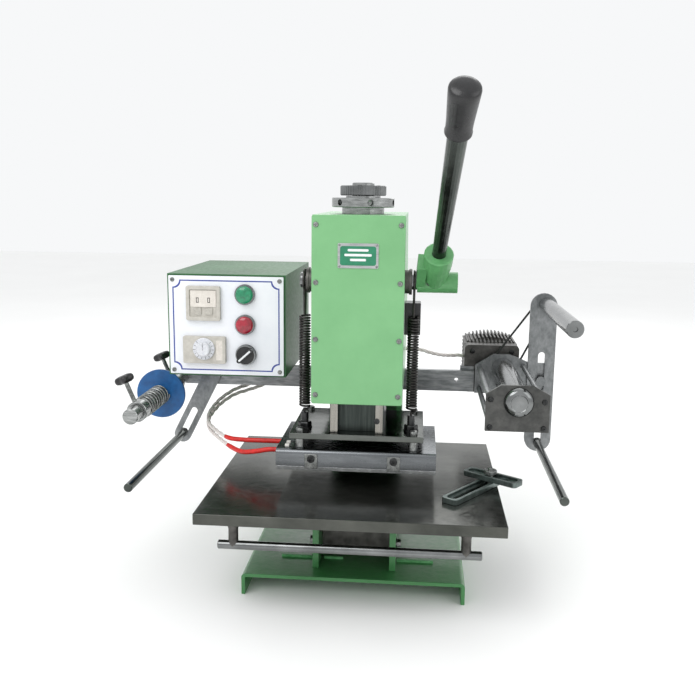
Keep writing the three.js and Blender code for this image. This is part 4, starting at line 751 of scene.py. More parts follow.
# ------------------------------------------------------------ ram, mounting plate and heating block
# The square ram slides in its guide. The mounting plate hangs from it, and the aluminium heating block hangs
# from the plate on four short standoffs, with the die plate held below it.
# Ground ram face: grey with vertical grinding lines.
ram_steel = surface("ground_ram_steel", "#4A504D", "#2E3331", 14 * mm, (0.28, 0.45), 1.0, bump=0.05,
                    stretch=(0.2, 1, 4))
recoat(ram_steel, "ram")
ram_box = span("ram")
strips = bmesh.new()
for x in (-29.3 * mm, 29.3 * mm):
    slab(strips, shift.x + x - 4.7 * mm, shift.x + x + 4.7 * mm, ram_box[2] - 0.1 * mm, ram_box[2] + 0.5 * mm,
         ram_box[4] + 0.3 * mm, ram_box[5] - 1 * mm)
# Bright ground gib strips: pale, slightly warm.
gib_steel = surface("ground_gib_strips", "#A5A29B", "#7F7C76", 10 * mm, (0.2, 0.32), 1.0, bump=0.03,
                    stretch=(0.3, 1, 4))
piece("ram_gib_strips", strips, gib_steel, "ram")
gib_screw = bmesh.new()
turned(gib_screw,
       [(0, 0), (3.6 * mm, 0), (3.6 * mm, 1.6 * mm), (3.1 * mm, 2 * mm), (1.7 * mm, 2 * mm),
        (1.6 * mm, 0.6 * mm), (0, 0.6 * mm)],
       to_front((shift.x + 26.6 * mm, ram_box[2], 228 * mm)), 24)
piece("ram_gib_screw", gib_screw, blackened_steel, "ram")
# Polished plate: almost mirror, soft streaks along it.
polished_plate = surface("polished_steel_plate", "#70736F", "#4D504D", 26 * mm, (0.1, 0.2), 1.0, bump=0.01,
                         stretch=(3, 1, 1))
x0, x1, y0, y1, z0, z1 = span("mounting_plate")
top_plate = bmesh.new()
PLATE_TOP, PLATE_THICK = 211 * mm, 8 * mm
slab(top_plate, x0, x1, y0, y1, PLATE_TOP - PLATE_THICK, PLATE_TOP)
piece("mounting_plate_polished", top_plate, polished_plate, "ram", ["mounting_plate"], 0.9 * mm)
STANDOFF_X, STUD_X = 74 * mm, 70.5 * mm
FRONT_STANDOFF_Y, BACK_STANDOFF_Y, STUD_Y = -70 * mm, 43 * mm, -50 * mm
block_top = span("heating_block")[5]
standoffs = bmesh.new()
for x in (-STANDOFF_X, STANDOFF_X):
    for y in (FRONT_STANDOFF_Y, BACK_STANDOFF_Y):
        place = upright(shift.x + x, shift.y + y)
        turned(standoffs, pin(6 * mm, block_top + 0.3 * mm, PLATE_TOP - PLATE_THICK),
               place, 32)
        turned(standoffs,
               [(0, PLATE_TOP), (5.2 * mm, PLATE_TOP), (5.2 * mm, PLATE_TOP + 4.4 * mm),
                (4.6 * mm, PLATE_TOP + 5 * mm),
                           (2.5 * mm, PLATE_TOP + 5 * mm), (2.3 * mm, PLATE_TOP + 2 * mm),
                           (0, PLATE_TOP + 2 * mm)], place, 32)
piece("standoffs_and_cap_screws", standoffs, zinc, "ram")
studs = bmesh.new()
for x in (-STUD_X, STUD_X):
    place = upright(shift.x + x, shift.y + STUD_Y)
    turned(studs,
           [(0, PLATE_TOP - 1 * mm), (5 * mm, PLATE_TOP - 1 * mm), (5 * mm, 231.2 * mm), (4.3 * mm, 232 * mm),
            (0, 232 * mm)], place, 32)
    turned(studs, pin(10 * mm, PLATE_TOP, PLATE_TOP + 1.6 * mm), place, 32)
    hex_head(studs, place @ Matrix.Translation((0, 0, PLATE_TOP + 1.6 * mm)), 16 * mm, 7 * mm)
piece("spring_studs_and_nuts", studs, blackened_steel, "ram", (), 0.2 * mm)
# Milled aluminium alloy block: bright, straight mill lines along its length, greyed by heat.
milled_aluminium = surface("milled_aluminium", "#7C7F82", "#5E6163", 40 * mm, (0.2, 0.32), 1.0, bump=0.003,
                           stretch=(6, 1, 1), fine=12.0)
x0, x1, y0, y1, z0, z1 = span("heating_block")
block = bmesh.new()
crown = 6 * mm
outline = [(y0, z0), (y1, z0)] + arc(y1 - crown, z1 - crown, crown, 0,
                                     90) + arc(y0 + crown, z1 - crown, crown, 90, 180)
prism(block, outline, x0, x1, Matrix(((0, 0, 1, 0), (1, 0, 0, 0), (0, 1, 0, 0), (0, 0, 0, 1))))
block = piece("heating_block_milled", block, milled_aluminium, "ram", ["heating_block"], 0.5 * mm)
bores = bmesh.new()
for y in (-52, -14, 24):
    place = along_x(shift.y + y * mm, 179 * mm)
    turned(bores, pin(5.2 * mm, x0 - 1 * mm, x0 + 30 * mm), place, 32)
drill(block, bores)
# Two steatite terminal beads sit on the block's front left corner: white, unglazed.
steatite = surface("steatite_ceramic", "#F2F0EA", "#DEDBD3", 4 * mm, (0.5, 0.65), bump=0.05)
beads = bmesh.new()
for y in (13 * mm, 27 * mm):
    slab(beads, x0 + 10 * mm, x0 + 15.5 * mm, y0 + y, y0 + y + 5 * mm, z1 - 0.2 * mm, z1 + 2.6 * mm)
piece("heater_terminal_beads", beads, steatite, "ram", (), 0.4 * mm)
x0, x1, y0, y1, z0, z1 = span("die_plate")
die = bmesh.new()
slab(die, x0, x1, y0, y1, z0, z1)
die_steel = surface("polished_die_steel", "#D6D8DA", "#B4B6B8", 60 * mm, (0.1, 0.2), 1.0, bump=0.003)
piece("die_plate_polished", die, die_steel, "ram", ["die_plate"], 0.5 * mm)
_, _, block_front, _, block_low, block_high = span("heating_block")
clamps = bmesh.new()
clamp_screws = bmesh.new()
CLAMP_PROUD = 2 * mm
for clamp_x in (-57.5 * mm, 49.5 * mm):
    centre = shift.x + clamp_x
    slab(clamps, centre - 8.5 * mm, centre + 8.5 * mm, block_front - CLAMP_PROUD, block_front + 1 * mm,
         block_low - 2.5 * mm, block_high - 5 * mm)
    place = to_front((centre, block_front - CLAMP_PROUD, (block_low + block_high) / 2))
    turned(clamp_screws,
           [(0, 0), (5 * mm, 0), (5 * mm, 2.4 * mm), (4.4 * mm, 3 * mm), (2.4 * mm, 3 * mm),
            (2.2 * mm, 1 * mm), (0, 1 * mm)],
           place, 32)
piece("die_clamps", clamps, zinc, "ram", (), 0.9 * mm)
piece("die_clamp_screws", clamp_screws, blackened_steel, "ram")

# ------------------------------------------------------------ return springs
# Two tension springs hang from wire loops round the shaft and hook under the studs on the mounting plate.
# They are wound from black oil-tempered wire.
# Oil-tempered spring wire: black-brown, satin, darker between the coils.
spring_wire = surface("oil_tempered_spring_wire", "#4A4846", "#232221", 5 * mm, (0.28, 0.42), 0.85, bump=0.04)
COIL_TURNS, COIL_WIRE = 34, 1.45 * mm
SPRING_TOP, SPRING_LOW = 363 * mm, 239 * mm
COIL_OUTSIDE, LOOP_RADIUS, LOOP_WIRE = 7.7 * mm, 13.6 * mm, 1.6 * mm
for side in ("left", "right"):
    spring_x = shift.x + (-STUD_X if side == "left" else STUD_X)
    spring_y = shift.y + STUD_Y
    coil_radius = COIL_OUTSIDE - COIL_WIRE
    helix = []
    for i in range(COIL_TURNS * 20 + 1):
        share = i / (COIL_TURNS * 20)
        angle = 2 * math.pi * COIL_TURNS * share
        helix.append(Vector((spring_x + coil_radius * math.cos(angle),
                             spring_y + coil_radius * math.sin(angle),
                             SPRING_TOP - COIL_WIRE + (SPRING_LOW - SPRING_TOP + 2 * COIL_WIRE) * share)))
    coil = bmesh.new()
    sweep(coil, helix, COIL_WIRE, 10)
    coil = piece("return_spring_" + side + "_coil", coil, spring_wire, None, ["return_spring_" + side])
    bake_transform(coil)
    hook = bmesh.new()
    lower = [Vector((spring_x + coil_radius, spring_y, SPRING_LOW + 1 * mm)),
             Vector((spring_x + coil_radius * 0.6, spring_y, SPRING_LOW - 2.5 * mm)),
             Vector((spring_x, spring_y, SPRING_LOW - 4 * mm)), Vector((spring_x, spring_y, 231.5 * mm))]
    sweep(hook, smooth_path(lower, 20), COIL_WIRE, 10)
    piece("return_spring_" + side + "_hook", hook, spring_wire, "ram")
    strap = bmesh.new()
    turns = [math.radians(a) for a in range(-150, 151, 15)]
    around = [Vector((spring_x, spring_y + LOOP_RADIUS * math.sin(a), shaft_z + LOOP_RADIUS * math.cos(a)))
              for a in turns]
    front_leg = Vector((spring_x, spring_y - 3 * mm, SPRING_TOP - 1 * mm))
    back_leg = Vector((spring_x, spring_y + 3 * mm, SPRING_TOP - 1 * mm))
    sweep(strap, smooth_path([front_leg] + around + [back_leg], 90), LOOP_WIRE, 10)
    piece("return_spring_" + side + "_loop", strap, spring_wire, "frame")

# ------------------------------------------------------------ cross bar and control box
# A rolled steel bar bolted across the back carries the box and the foil arms. The box is folded sheet, green
# outside, with a white screen-printed front held by four screws.
# Rolled bar: mid grey, scratched along its length.
rolled_steel = surface("scratched_rolled_steel", "#A6A8A9", "#6C6F71", 7 * mm, (0.28, 0.5), 1.0, bump=0.08,
                       stretch=(3, 1, 0.6), fine=8.0)
recoat(rolled_steel, "cross_bar")
box_enamel = surface("box_green_enamel", "#3F7147", "#325F3A", 90 * mm, (0.34, 0.46), bump=0.02, fine=20.0,
                     coat_weight=0.08, coat_roughness=0.2, specular_ior_level=0.25)
recoat(box_enamel, "control_box")
x0, x1, y0, y1, z0, z1 = span("control_panel")
# White baked enamel front: even, faint orange peel.
panel_enamel = surface("white_baked_enamel", "#F1F3F7", "#E6E9EF", 60 * mm, (0.3, 0.4), bump=0.02, fine=16.0,
                       coat_weight=0.3)
panel = bmesh.new()
panel_facing = to_front((0, y1, 0))
PANEL_INSET = 2.4 * mm
prism(panel, smooth_box(x0 + PANEL_INSET, x1 - PANEL_INSET, z0 + PANEL_INSET, z1 - PANEL_INSET, 1.5 * mm), 0,
      y1 - y0, panel_facing)
piece("control_panel_enamelled", panel, panel_enamel, "frame", ["control_panel"], 0.4 * mm)
panel_front = y0
panel_x0, panel_x1, panel_z0, panel_z1 = x0, x1, z0, z1


def notched(x0, x1, z0, z1, notch):
    """A rectangle with concave quarter-round corners, as points."""
    return (
        arc(x1, z0, notch, 180, 90, 6) + arc(x1, z1, notch, 270, 180, 6)
        + arc(x0, z1, notch, 0, -90, 6) + arc(x0, z0, notch, 90, 0, 6)
    )


def frame_line(shape, outer, inner, y, thick):
    """Adds a flat ring between two outlines of the same number of points, facing -Y."""
    front = [[shape.verts.new((x, y - thick, z)) for x, z in line] for line in (outer, inner)]
    back = [[shape.verts.new((x, y, z)) for x, z in line] for line in (outer, inner)]
    count = len(outer)
    for i in range(count):
        j = (i + 1) % count
        shape.faces.new((front[0][i], front[0][j], front[1][j], front[1][i]))
        shape.faces.new((back[0][i], back[0][j], front[0][j], front[0][i]))
        shape.faces.new((front[1][i], front[1][j], back[1][j], back[1][i]))
        shape.faces.new((back[1][i], back[1][j], back[0][j], back[0][i]))


# Blue screen ink: flat, a little glossy.
blue_ink = surface("blue_screen_ink", "#2F469E", "#26398C", 5 * mm, (0.38, 0.48), bump=0.01)
border = bmesh.new()
inset, line_width = 8 * mm, 1.7 * mm
frame_line(border, notched(panel_x0 + inset, panel_x1 - inset, panel_z0 + inset, panel_z1 - inset, 10 * mm),
           notched(panel_x0 + inset + line_width, panel_x1 - inset - line_width,
                   panel_z0 + inset + line_width,
                   panel_z1 - inset - line_width, 10 * mm), panel_front, 0.15 * mm)
piece("panel_border", border, blue_ink, "frame")
pan_screws("panel_screws",
                   [(x, panel_front, z) for x in (panel_x0 + 8 * mm, panel_x1 - 8 * mm) for z in
                   (panel_z0 + 8 * mm, panel_z1 - 8 * mm)], 3.1 * mm, (0, -1, 0), zinc, "frame")

# ------------------------------------------------------------ timer, thermostat, lamps and switch
# Bought-in panel instruments: a square timer with two thumbwheels, a temperature controller with a round dial
# under a clear cover, two indicator lamps with bright bezels and a black selector switch.
# Moulded ABS in a warm grey: fine spark-eroded texture.
grey_abs = surface("moulded_grey_abs", "#C9C5BD", "#B5B1A8", 7 * mm, (0.42, 0.55), bump=0.06, fine=10.0)
pale_window = surface("pale_window_plastic", "#E4DED6", "#D3CCC3", 9 * mm, (0.2, 0.3), bump=0.01,
                      coat_weight=0.4)
x0, x1, y0, y1, z0, z1 = span("timer")
body = bmesh.new()
facing_timer = to_front(((x0 + x1) / 2, y1, (z0 + z1) / 2))
half = (x1 - x0) / 2
prism(body, smooth_box(-half, half, -half, half, 2.5 * mm), 0, y1 - y0 - 0.6 * mm, facing_timer)
body = piece("timer_body", body, grey_abs, "frame", ["timer"], 0.6 * mm)
pocket = bmesh.new()
prism(pocket, smooth_box(-half + 5 * mm, half - 5 * mm, -half + 5 * mm, half - 5 * mm, 1.5 * mm), 3 * mm,
      12 * mm, facing_timer)
drill(body, pocket)
window = bmesh.new()
prism(window, smooth_box(-half + 6 * mm, half - 6 * mm, -5 * mm, half - 6 * mm, 1 * mm), 2.8 * mm, 4 * mm,
      facing_timer)
piece("timer_window", window, pale_window, "frame")
wheels = bmesh.new()
for x in (-8 * mm, 8 * mm):
    slab(wheels, x - 5 * mm, x + 5 * mm, -16 * mm, -6 * mm, 2.8 * mm, 4.6 * mm, facing_timer)
    for k in range(5):
        slab(wheels, x - 5.2 * mm, x + 5.2 * mm, (-15.2 + 2.1 * k) * mm, (-14.2 + 2.1 * k) * mm, 4.4 * mm,
             5.1 * mm, facing_timer)
piece("timer_thumbwheels", wheels, grey_abs, "frame", (), 0.2 * mm)
digits = bmesh.new()
for x in (-8 * mm, 8 * mm):
    left, right = x - 1.7 * mm, x + 1.7 * mm
    strokes = ((left, right, 7.2 * mm, 8 * mm), (left, right, 1 * mm, 1.8 * mm),
               (left, left + 0.8 * mm, 1 * mm, 8 * mm), (right - 0.8 * mm, right, 1 * mm, 8 * mm))
    for start, stop, bottom, top in strokes:
        slab(digits, start, stop, bottom, top, 3.9 * mm, 4.2 * mm, facing_timer)
piece("timer_zero_digits", digits, black_moulding, "frame")
x0, x1, y0, y1, z0, z1 = span("thermostat")
body = bmesh.new()
facing_thermo = to_front(((x0 + x1) / 2, y1, (z0 + z1) / 2))
wide, tall, deep = (x1 - x0) / 2, (z1 - z0) / 2, y1 - y0
prism(body, smooth_box(-wide, wide, -tall, tall, 2 * mm), 0, deep, facing_thermo)
piece("thermostat_body", body, grey_abs, "frame", ["thermostat"], 0.6 * mm)
label = bmesh.new()
prism(label, smooth_box(wide - 13 * mm, wide - 4 * mm, -tall + 5 * mm, tall - 5 * mm, 1 * mm), deep,
      deep + 0.25 * mm, facing_thermo)
piece("thermostat_strip", label, pale_window, "frame")
x0, x1, y0, y1, z0, z1 = span("thermostat_dial")
dial_radius = (x1 - x0) / 2
dial_place = to_front(((x0 + x1) / 2, y1, (z0 + z1) / 2))
# Clear styrene dial over a spun aluminium disc: near white, with a hard gloss.
clear_styrene = surface("clear_styrene_dial", "#E3E4E8", "#C6C8CF", 4 * mm, (0.1, 0.2), bump=0.03,
                        coat_weight=0.6)
spun_disc = surface("spun_aluminium_disc", "#D4D4D6", "#9C9CA2", 5 * mm, (0.15, 0.28), 1.0, bump=0.03)
dial = bmesh.new()
turned(dial,
       [(0, 0), (dial_radius, 0), (dial_radius, 2 * mm), (dial_radius - 0.7 * mm, 2.6 * mm),
        (10.5 * mm, 2.6 * mm),
              (9.8 * mm, y1 - y0 - 0.6 * mm), (9.2 * mm, y1 - y0), (0, y1 - y0)], dial_place, 96,
       lambda a: 1 - 0.01 * (math.sin(36 * a) > 0))
piece("thermostat_dial_moulded", dial, clear_styrene, "dial", ["thermostat_dial"])
disc = bmesh.new()
turned(disc,
       [(0, y1 - y0 - 0.4 * mm), (8.9 * mm, y1 - y0 - 0.4 * mm), (8.6 * mm, y1 - y0 + 0.05 * mm),
        (7 * mm, y1 - y0 - 0.25 * mm), (0, y1 - y0 + 0.05 * mm)], dial_place, 72)
piece("thermostat_dial_disc", disc, spun_disc, "dial")
ticks = bmesh.new()
for k in range(12):
    turn = dial_place @ Matrix.Rotation(math.radians(-225 + 24.5 * k), 4, "Z")
    slab(ticks, 11.4 * mm, (14.2 if k % 2 else 15.0) * mm, -0.25 * mm, 0.25 * mm, 2.5 * mm, 2.75 * mm, turn)
slab(ticks, 2 * mm, 9 * mm, -0.5 * mm, 0.5 * mm, y1 - y0 - 0.05 * mm, y1 - y0,
     dial_place @ Matrix.Rotation(math.pi / 2, 4, "Z"))
piece("thermostat_dial_marks", ticks, black_moulding, "dial")
# Lamp lenses: tinted acrylic over an unlit bulb.
green_acrylic = surface("green_acrylic_lens", "#1FA070", "#0B6B48", 6 * mm, (0.08, 0.16), bump=0.02,
                        coat_weight=0.6)
red_acrylic = surface("red_acrylic_lens", "#B81E38", "#7A0F20", 6 * mm, (0.08, 0.16), bump=0.02,
                      coat_weight=0.6)
for name, acrylic, slot in (("lamp_green", green_acrylic, "green_lens"),
                            ("lamp_red", red_acrylic, "red_lens")):
    x0, x1, y0, y1, z0, z1 = span(name)
    lamp_radius = (x1 - x0) / 2
    depth = y1 - y0
    lamp_place = to_front(((x0 + x1) / 2, y1, (z0 + z1) / 2))
    bezel = bmesh.new()
    hoop(bezel,
         [(lamp_radius - 2 * mm, 0), (lamp_radius, 0), (lamp_radius, depth * 0.3),
          (lamp_radius - 0.8 * mm, depth * 0.42),
                 (lamp_radius - 2 * mm, depth * 0.42), (lamp_radius - 2 * mm, 0)], lamp_place, 56)
    piece(name + "_bezel", bezel, bright_bar, "frame")
    inner = lamp_radius - 2.1 * mm
    lens_shape = bmesh.new()
    turned(lens_shape, [(0, 0), (inner, 0), (inner, depth * 0.6)] + [
        (inner * math.cos(math.radians(a)), depth * 0.6 + (depth * 0.4) * math.sin(math.radians(a)))
                                                                     for a in (15, 30, 45, 60, 75)]
        + [(0, depth)], lamp_place, 56)
    piece(name + "_lens", lens_shape, acrylic, "frame", [name])
x0, x1, y0, y1, z0, z1 = span("selector_knob")
knob_place = to_front(((x0 + x1) / 2, y1, (z0 + z1) / 2))
knob_radius = (x1 - x0) / 2
knob_depth = y1 - y0
knob = bmesh.new()
turned(knob,
       [(0, 0), (knob_radius, 0), (knob_radius, knob_depth * 0.3), (knob_radius - 1 * mm, knob_depth * 0.4),
        (0, knob_depth * 0.4)], knob_place, 56)
knob_place = knob_place @ Matrix.Rotation(math.radians(-48), 4, "Z")
prism(knob, stadium(0, -knob_radius + 4 * mm, 0, knob_radius - 4 * mm, 3.2 * mm, 8), knob_depth * 0.38,
      knob_depth, knob_place)
piece("selector_knob_moulded", knob, black_moulding, "selector", ["selector_knob"], 0.5 * mm)
pointer = bmesh.new()
slab(pointer, -1.3 * mm, 1.3 * mm, -knob_radius + 4 * mm, knob_radius - 3.5 * mm, knob_depth - 0.3 * mm,
     knob_depth + 0.15 * mm, knob_place)
selector_rim = bmesh.new()
hoop(selector_rim,
     [(knob_radius - 2 * mm, knob_depth * 0.3), (knob_radius, knob_depth * 0.3),
      (knob_radius - 0.8 * mm, knob_depth * 0.5), (knob_radius - 2 * mm, knob_depth * 0.5),
      (knob_radius - 2 * mm, knob_depth * 0.3)], knob_place, 56)
piece("selector_rim", selector_rim, bright_bar, "selector")
piece("selector_pointer", pointer, white_ink, "selector")

# ------------------------------------------------------------ foil unwind arm
# A round shaft clamped in the cross bar carries a plastic reel flange, a brake spring that presses on it and
# two set collars with five-lobed plastic knobs.
x0, x1, y0, y1, z0, z1 = span("unwind_shaft")
arm_x, arm_z = shift.x - 297 * mm, 226 * mm
arm = bmesh.new()
turned(arm, [(0, y0), (9.5 * mm, y0), (10.5 * mm, y0 + 1 * mm), (10.5 * mm, y1), (0, y1)],
       along_y(arm_x, arm_z), 56)
hub_start, hub_stop = shift.y + 103 * mm, shift.y + 127 * mm
hoop(arm, washer_profile(10.4 * mm, 14 * mm, hub_start, hub_stop, 0.6 * mm), along_y(arm_x, arm_z), 56)
piece("unwind_shaft_turned", arm, turned_steel, "frame", ["unwind_shaft"])
# Blue moulded nylon: a soft waxy sheen.
blue_nylon = surface("blue_moulded_nylon", "#1A62A0", "#124A80", 12 * mm, (0.35, 0.48), bump=0.04)
x0, x1, y0, y1, z0, z1 = span("reel_flange")
flange_radius = (z1 - z0) / 2
reel = bmesh.new()
flange_thick = 4 * mm
profile = [(10.9 * mm, y0), (flange_radius - 0.6 * mm, y0), (flange_radius, y0 + 0.6 * mm),
           (flange_radius, y0 + flange_thick - 0.6 * mm),
           (flange_radius - 0.6 * mm, y0 + flange_thick), (17 * mm, y0 + flange_thick),
           (15.5 * mm, y0 + flange_thick + 1.5 * mm),
           (15.5 * mm, y1 - 0.6 * mm), (14.9 * mm, y1), (10.9 * mm, y1), (10.9 * mm, y0)]
hoop(reel, profile, along_y((x0 + x1) / 2, (z0 + z1) / 2), 96)
piece("reel_flange_moulded", reel, blue_nylon, "reel", ["reel_flange"])
x0, x1, y0, y1, z0, z1 = span("brake_spring")
coil_mean, coil_wire, coil_turns = (z1 - z0) / 2 - 1.7 * mm, 1.6 * mm, 9
coil = bmesh.new()
loop = []
for i in range(coil_turns * 28 + 1):
    share = i / (coil_turns * 28)
    angle = 2 * math.pi * coil_turns * share
    rise = y0 + coil_wire + (y1 - y0 - 2 * coil_wire) * share
    loop.append(Vector(((x0 + x1) / 2 + coil_mean * math.cos(angle), rise,
                        (z0 + z1) / 2 + coil_mean * math.sin(angle))))
sweep(coil, loop, coil_wire, 10)
piece("brake_spring_coil", coil, zinc, "frame", ["brake_spring"])
x0, x1, y0, y1, z0, z1 = span("brake_collar")
collar = bmesh.new()
hoop(collar, washer_profile(10.8 * mm, 14 * mm, y0, y1, 0.7 * mm), along_y(arm_x, arm_z), 64)
piece("brake_collar_turned", collar, turned_steel, "frame", ["brake_collar"])
KNOB_TILT, KNOB_REACH, KNOB_HEIGHT, KNOB_RADIUS = 23, 52 * mm, 11 * mm, 13.5 * mm
for node, body, knob_y in (("collar_knob", "collar_knob", shift.y - 50 * mm),
                           ("hub_knob", "hub_knob", shift.y + 115 * mm)):
    place = Matrix.Translation((arm_x, knob_y, arm_z)) @ Matrix.Rotation(math.radians(-KNOB_TILT), 4, "Y")
    lobes = bmesh.new()
    low = KNOB_REACH - KNOB_HEIGHT
    turned(lobes,
           [(0, low), (0.62 * KNOB_RADIUS, low), (0.9 * KNOB_RADIUS, low + 1.6 * mm),
            (KNOB_RADIUS, low + 4 * mm), (KNOB_RADIUS, KNOB_REACH - 3.5 * mm),
                   (0.88 * KNOB_RADIUS, KNOB_REACH - 1 * mm), (0.6 * KNOB_RADIUS, KNOB_REACH),
                   (0, KNOB_REACH)], place, 100,
           lambda a: 0.9 + 0.1 * math.cos(5 * a))
    piece(node + "_moulded", lobes, black_moulding, body, [node], 0, 50)
    stem = bmesh.new()
    turned(stem, pin(3 * mm, 11 * mm, low + 1 * mm), place, 24)
    for k in range(18):
        ridge = 16 * mm + k * 1.2 * mm
        if ridge < low - 2 * mm:
            hoop(stem,
                 [(2.9 * mm, ridge), (3.35 * mm, ridge + 0.4 * mm), (2.9 * mm, ridge + 0.8 * mm),
                  (2.9 * mm, ridge)], place, 24)
    piece(node + "_screw", stem, zinc, body)

# ------------------------------------------------------------ slotted plates and guide rods
# Rolled steel flats with long slots, bolted on the cross bar. Each carries a round rod that the foil runs
# over, held at its back end by a nut.
# Brushed steel: long lines down the plate, pale grey.
brushed_steel = surface("brushed_steel", "#939596", "#717475", 6 * mm, (0.3, 0.45), 1.0, bump=0.06,
                        stretch=(1, 1, 1.6), fine=5.0)
recoat(brushed_steel, "left_slotted_plate", "right_slotted_plate")
for name, body, rod_x, rod_z in (("left_guide_rod", "left_rod", shift.x - 296.1 * mm, 135.7 * mm),
                                 ("right_guide_rod", "right_rod", shift.x + 265 * mm, 141 * mm)):
    x0, x1, y0, y1, z0, z1 = span(name)
    rod = bmesh.new()
    neck_start = shift.y + 149 * mm
    rod_place = along_y(rod_x, rod_z)
    turned(rod,
           [(0, y0), (5.2 * mm, y0), (6 * mm, y0 + 0.8 * mm), (6 * mm, neck_start - 0.6 * mm),
            (5.4 * mm, neck_start), (4 * mm, neck_start), (4 * mm, y1), (0, y1)], rod_place, 48)
    piece(name + "_bar", rod, rod_steel, body, [name])
    nut = bmesh.new()
    turned(nut, pin(8 * mm, y1 - 7 * mm, y1 - 6 * mm), rod_place, 32)
    hex_head(nut, rod_place @ Matrix.Translation((0, 0, y1 - 6 * mm)), 12 * mm, 5.5 * mm)
    piece(name + "_nut", nut, zinc, body, (), 0.2 * mm)

# ------------------------------------------------------------ foil feed
# Two steel plates, the front one painted, held apart by tie rods carry a ground feed roller, a rubber
# nip roller under it and a geared motor behind. A round rubber belt drives the take-up roller from the feed
# roller's pulley.
# Dark grey hammer paint: faint hammer pattern, drawn at about 2 mm.
grey_paint = surface("dark_grey_machine_paint", "#5C5C5A", "#3C3D3C", 14 * mm, (0.3, 0.44), 0.7, bump=0.06,
                     fine=6.0)
recoat(brushed_steel, "feed_rear_plate")
x0, x1, y0, y1, z0, z1 = span("feed_front_plate")
PLATE_SHEET, SHOULDER, TOP_INSET = 5 * mm, 12 * mm, 19 * mm
front_plate = bmesh.new()
outline = [(x0, z0), (x1, z0), (x1, z1 - SHOULDER), (x1 - TOP_INSET - 3 * mm, z1), (x0 + TOP_INSET, z1),
           (x0, z1 - SHOULDER)]
prism(front_plate, outline, 0, PLATE_SHEET, to_front((0, y1, 0)))
piece("feed_front_plate_painted", front_plate, grey_paint, "frame", ["feed_front_plate"], 0.7 * mm)
roller_x, roller_z = shift.x + 208 * mm, 256 * mm
x0, x1, y0, y1, z0, z1 = span("feed_roller")
roller = bmesh.new()
roller_front, roller_back = shift.y - 54 * mm, shift.y + 154 * mm
turned(roller,
       [(0, y0), (6 * mm, y0), (6 * mm, roller_front - 0.6 * mm), (16 * mm, roller_front - 0.6 * mm),
        (17 * mm, roller_front + 0.6 * mm), (17 * mm, roller_back - 1 * mm),
                (16 * mm, roller_back), (6 * mm, roller_back), (6 * mm, y1 - 12 * mm), (0, y1 - 12 * mm)],
       along_y(roller_x, roller_z), 72)
pulley_y = shift.y + 167 * mm
hoop(roller,
     [(5.9 * mm, pulley_y - 5 * mm), (20 * mm, pulley_y - 5 * mm), (20 * mm, pulley_y - 3 * mm),
      (17.6 * mm, pulley_y), (20 * mm, pulley_y + 3 * mm),
              (20 * mm, pulley_y + 5 * mm), (5.9 * mm, pulley_y + 5 * mm), (5.9 * mm, pulley_y - 5 * mm)],
     along_y(roller_x, roller_z), 64)
piece("feed_roller_ground", roller, bright_bar, "feed_roller", ["feed_roller"])
# Black nitrile rubber: dull, dusty.
black_rubber = surface("black_nitrile_rubber", "#232323", "#161616", 6 * mm, (0.6, 0.75), bump=0.06)
recoat(black_rubber, "nip_roller")
x0, x1, y0, y1, z0, z1 = span("takeup_roller")
takeup_x, takeup_z = shift.x + 268 * mm, 357 * mm
takeup = bmesh.new()
turned(takeup,
       [(0, y0 + 3 * mm), (3 * mm, y0 + 3 * mm), (3.4 * mm, y0), (10.2 * mm, y0), (11 * mm, y0 + 0.8 * mm),
        (11 * mm, shift.y + 147 * mm), (10.2 * mm, shift.y + 148 * mm),
                (5 * mm, shift.y + 148 * mm), (5 * mm, pulley_y + 4 * mm), (0, pulley_y + 4 * mm)],
       along_y(takeup_x, takeup_z), 72)
hoop(takeup,
     [(4.9 * mm, pulley_y - 4 * mm), (10 * mm, pulley_y - 4 * mm), (10 * mm, pulley_y - 2.6 * mm),
      (8.2 * mm, pulley_y), (10 * mm, pulley_y + 2.6 * mm),
              (10 * mm, pulley_y + 4 * mm), (4.9 * mm, pulley_y + 4 * mm), (4.9 * mm, pulley_y - 4 * mm)],
     along_y(takeup_x, takeup_z), 56)
piece("takeup_roller_ground", takeup, bright_bar, "takeup_roller", ["takeup_roller"])
# The belt is 3 mm round rubber cord: it runs in the pulley grooves.
big_radius, small_radius, cord_radius = 19.2 * mm, 9.8 * mm, 1.55 * mm
along = Vector((takeup_x - roller_x, 0, takeup_z - roller_z))
distance = along.length
direction = math.atan2(along.z, along.x)
lean = math.acos((big_radius - small_radius) / distance)
track = []
for i in range(41):
    angle = direction + lean + (2 * math.pi - 2 * lean) * i / 40
    track.append(Vector((roller_x + big_radius * math.cos(angle), pulley_y,
                         roller_z + big_radius * math.sin(angle))))
for i in range(1, 30):
    track.append(track[40].lerp(Vector((takeup_x + small_radius * math.cos(direction - lean), pulley_y,
                                        takeup_z + small_radius * math.sin(direction - lean))), i / 30))
for i in range(25):
    angle = direction - lean + 2 * lean * i / 24
    track.append(Vector((takeup_x + small_radius * math.cos(angle), pulley_y,
                         takeup_z + small_radius * math.sin(angle))))
last = track[-1].copy()
for i in range(1, 30):
    track.append(last.lerp(track[0], i / 30))
belt = bmesh.new()
sweep(belt, track, cord_radius, 12, closed=True)
belt = piece("drive_belt_round", belt, black_rubber, None, ["drive_belt"])
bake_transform(belt)
cap = bmesh.new()
feed_boss_y = shift.y - 60 * mm
turned(cap,
       [(0, -8.6 * mm), (8 * mm, -8.5 * mm), (10.5 * mm, -8.3 * mm), (11.2 * mm, -8.9 * mm),
        (14.5 * mm, -8.2 * mm), (17.4 * mm, -6.2 * mm), (19 * mm, -3.4 * mm), (19.4 * mm, 0.3 * mm),
        (0, 0.3 * mm)],
       along_y(roller_x, roller_z, feed_boss_y), 72)
piece("feed_bearing_cap", cap, bright_bar, "frame")
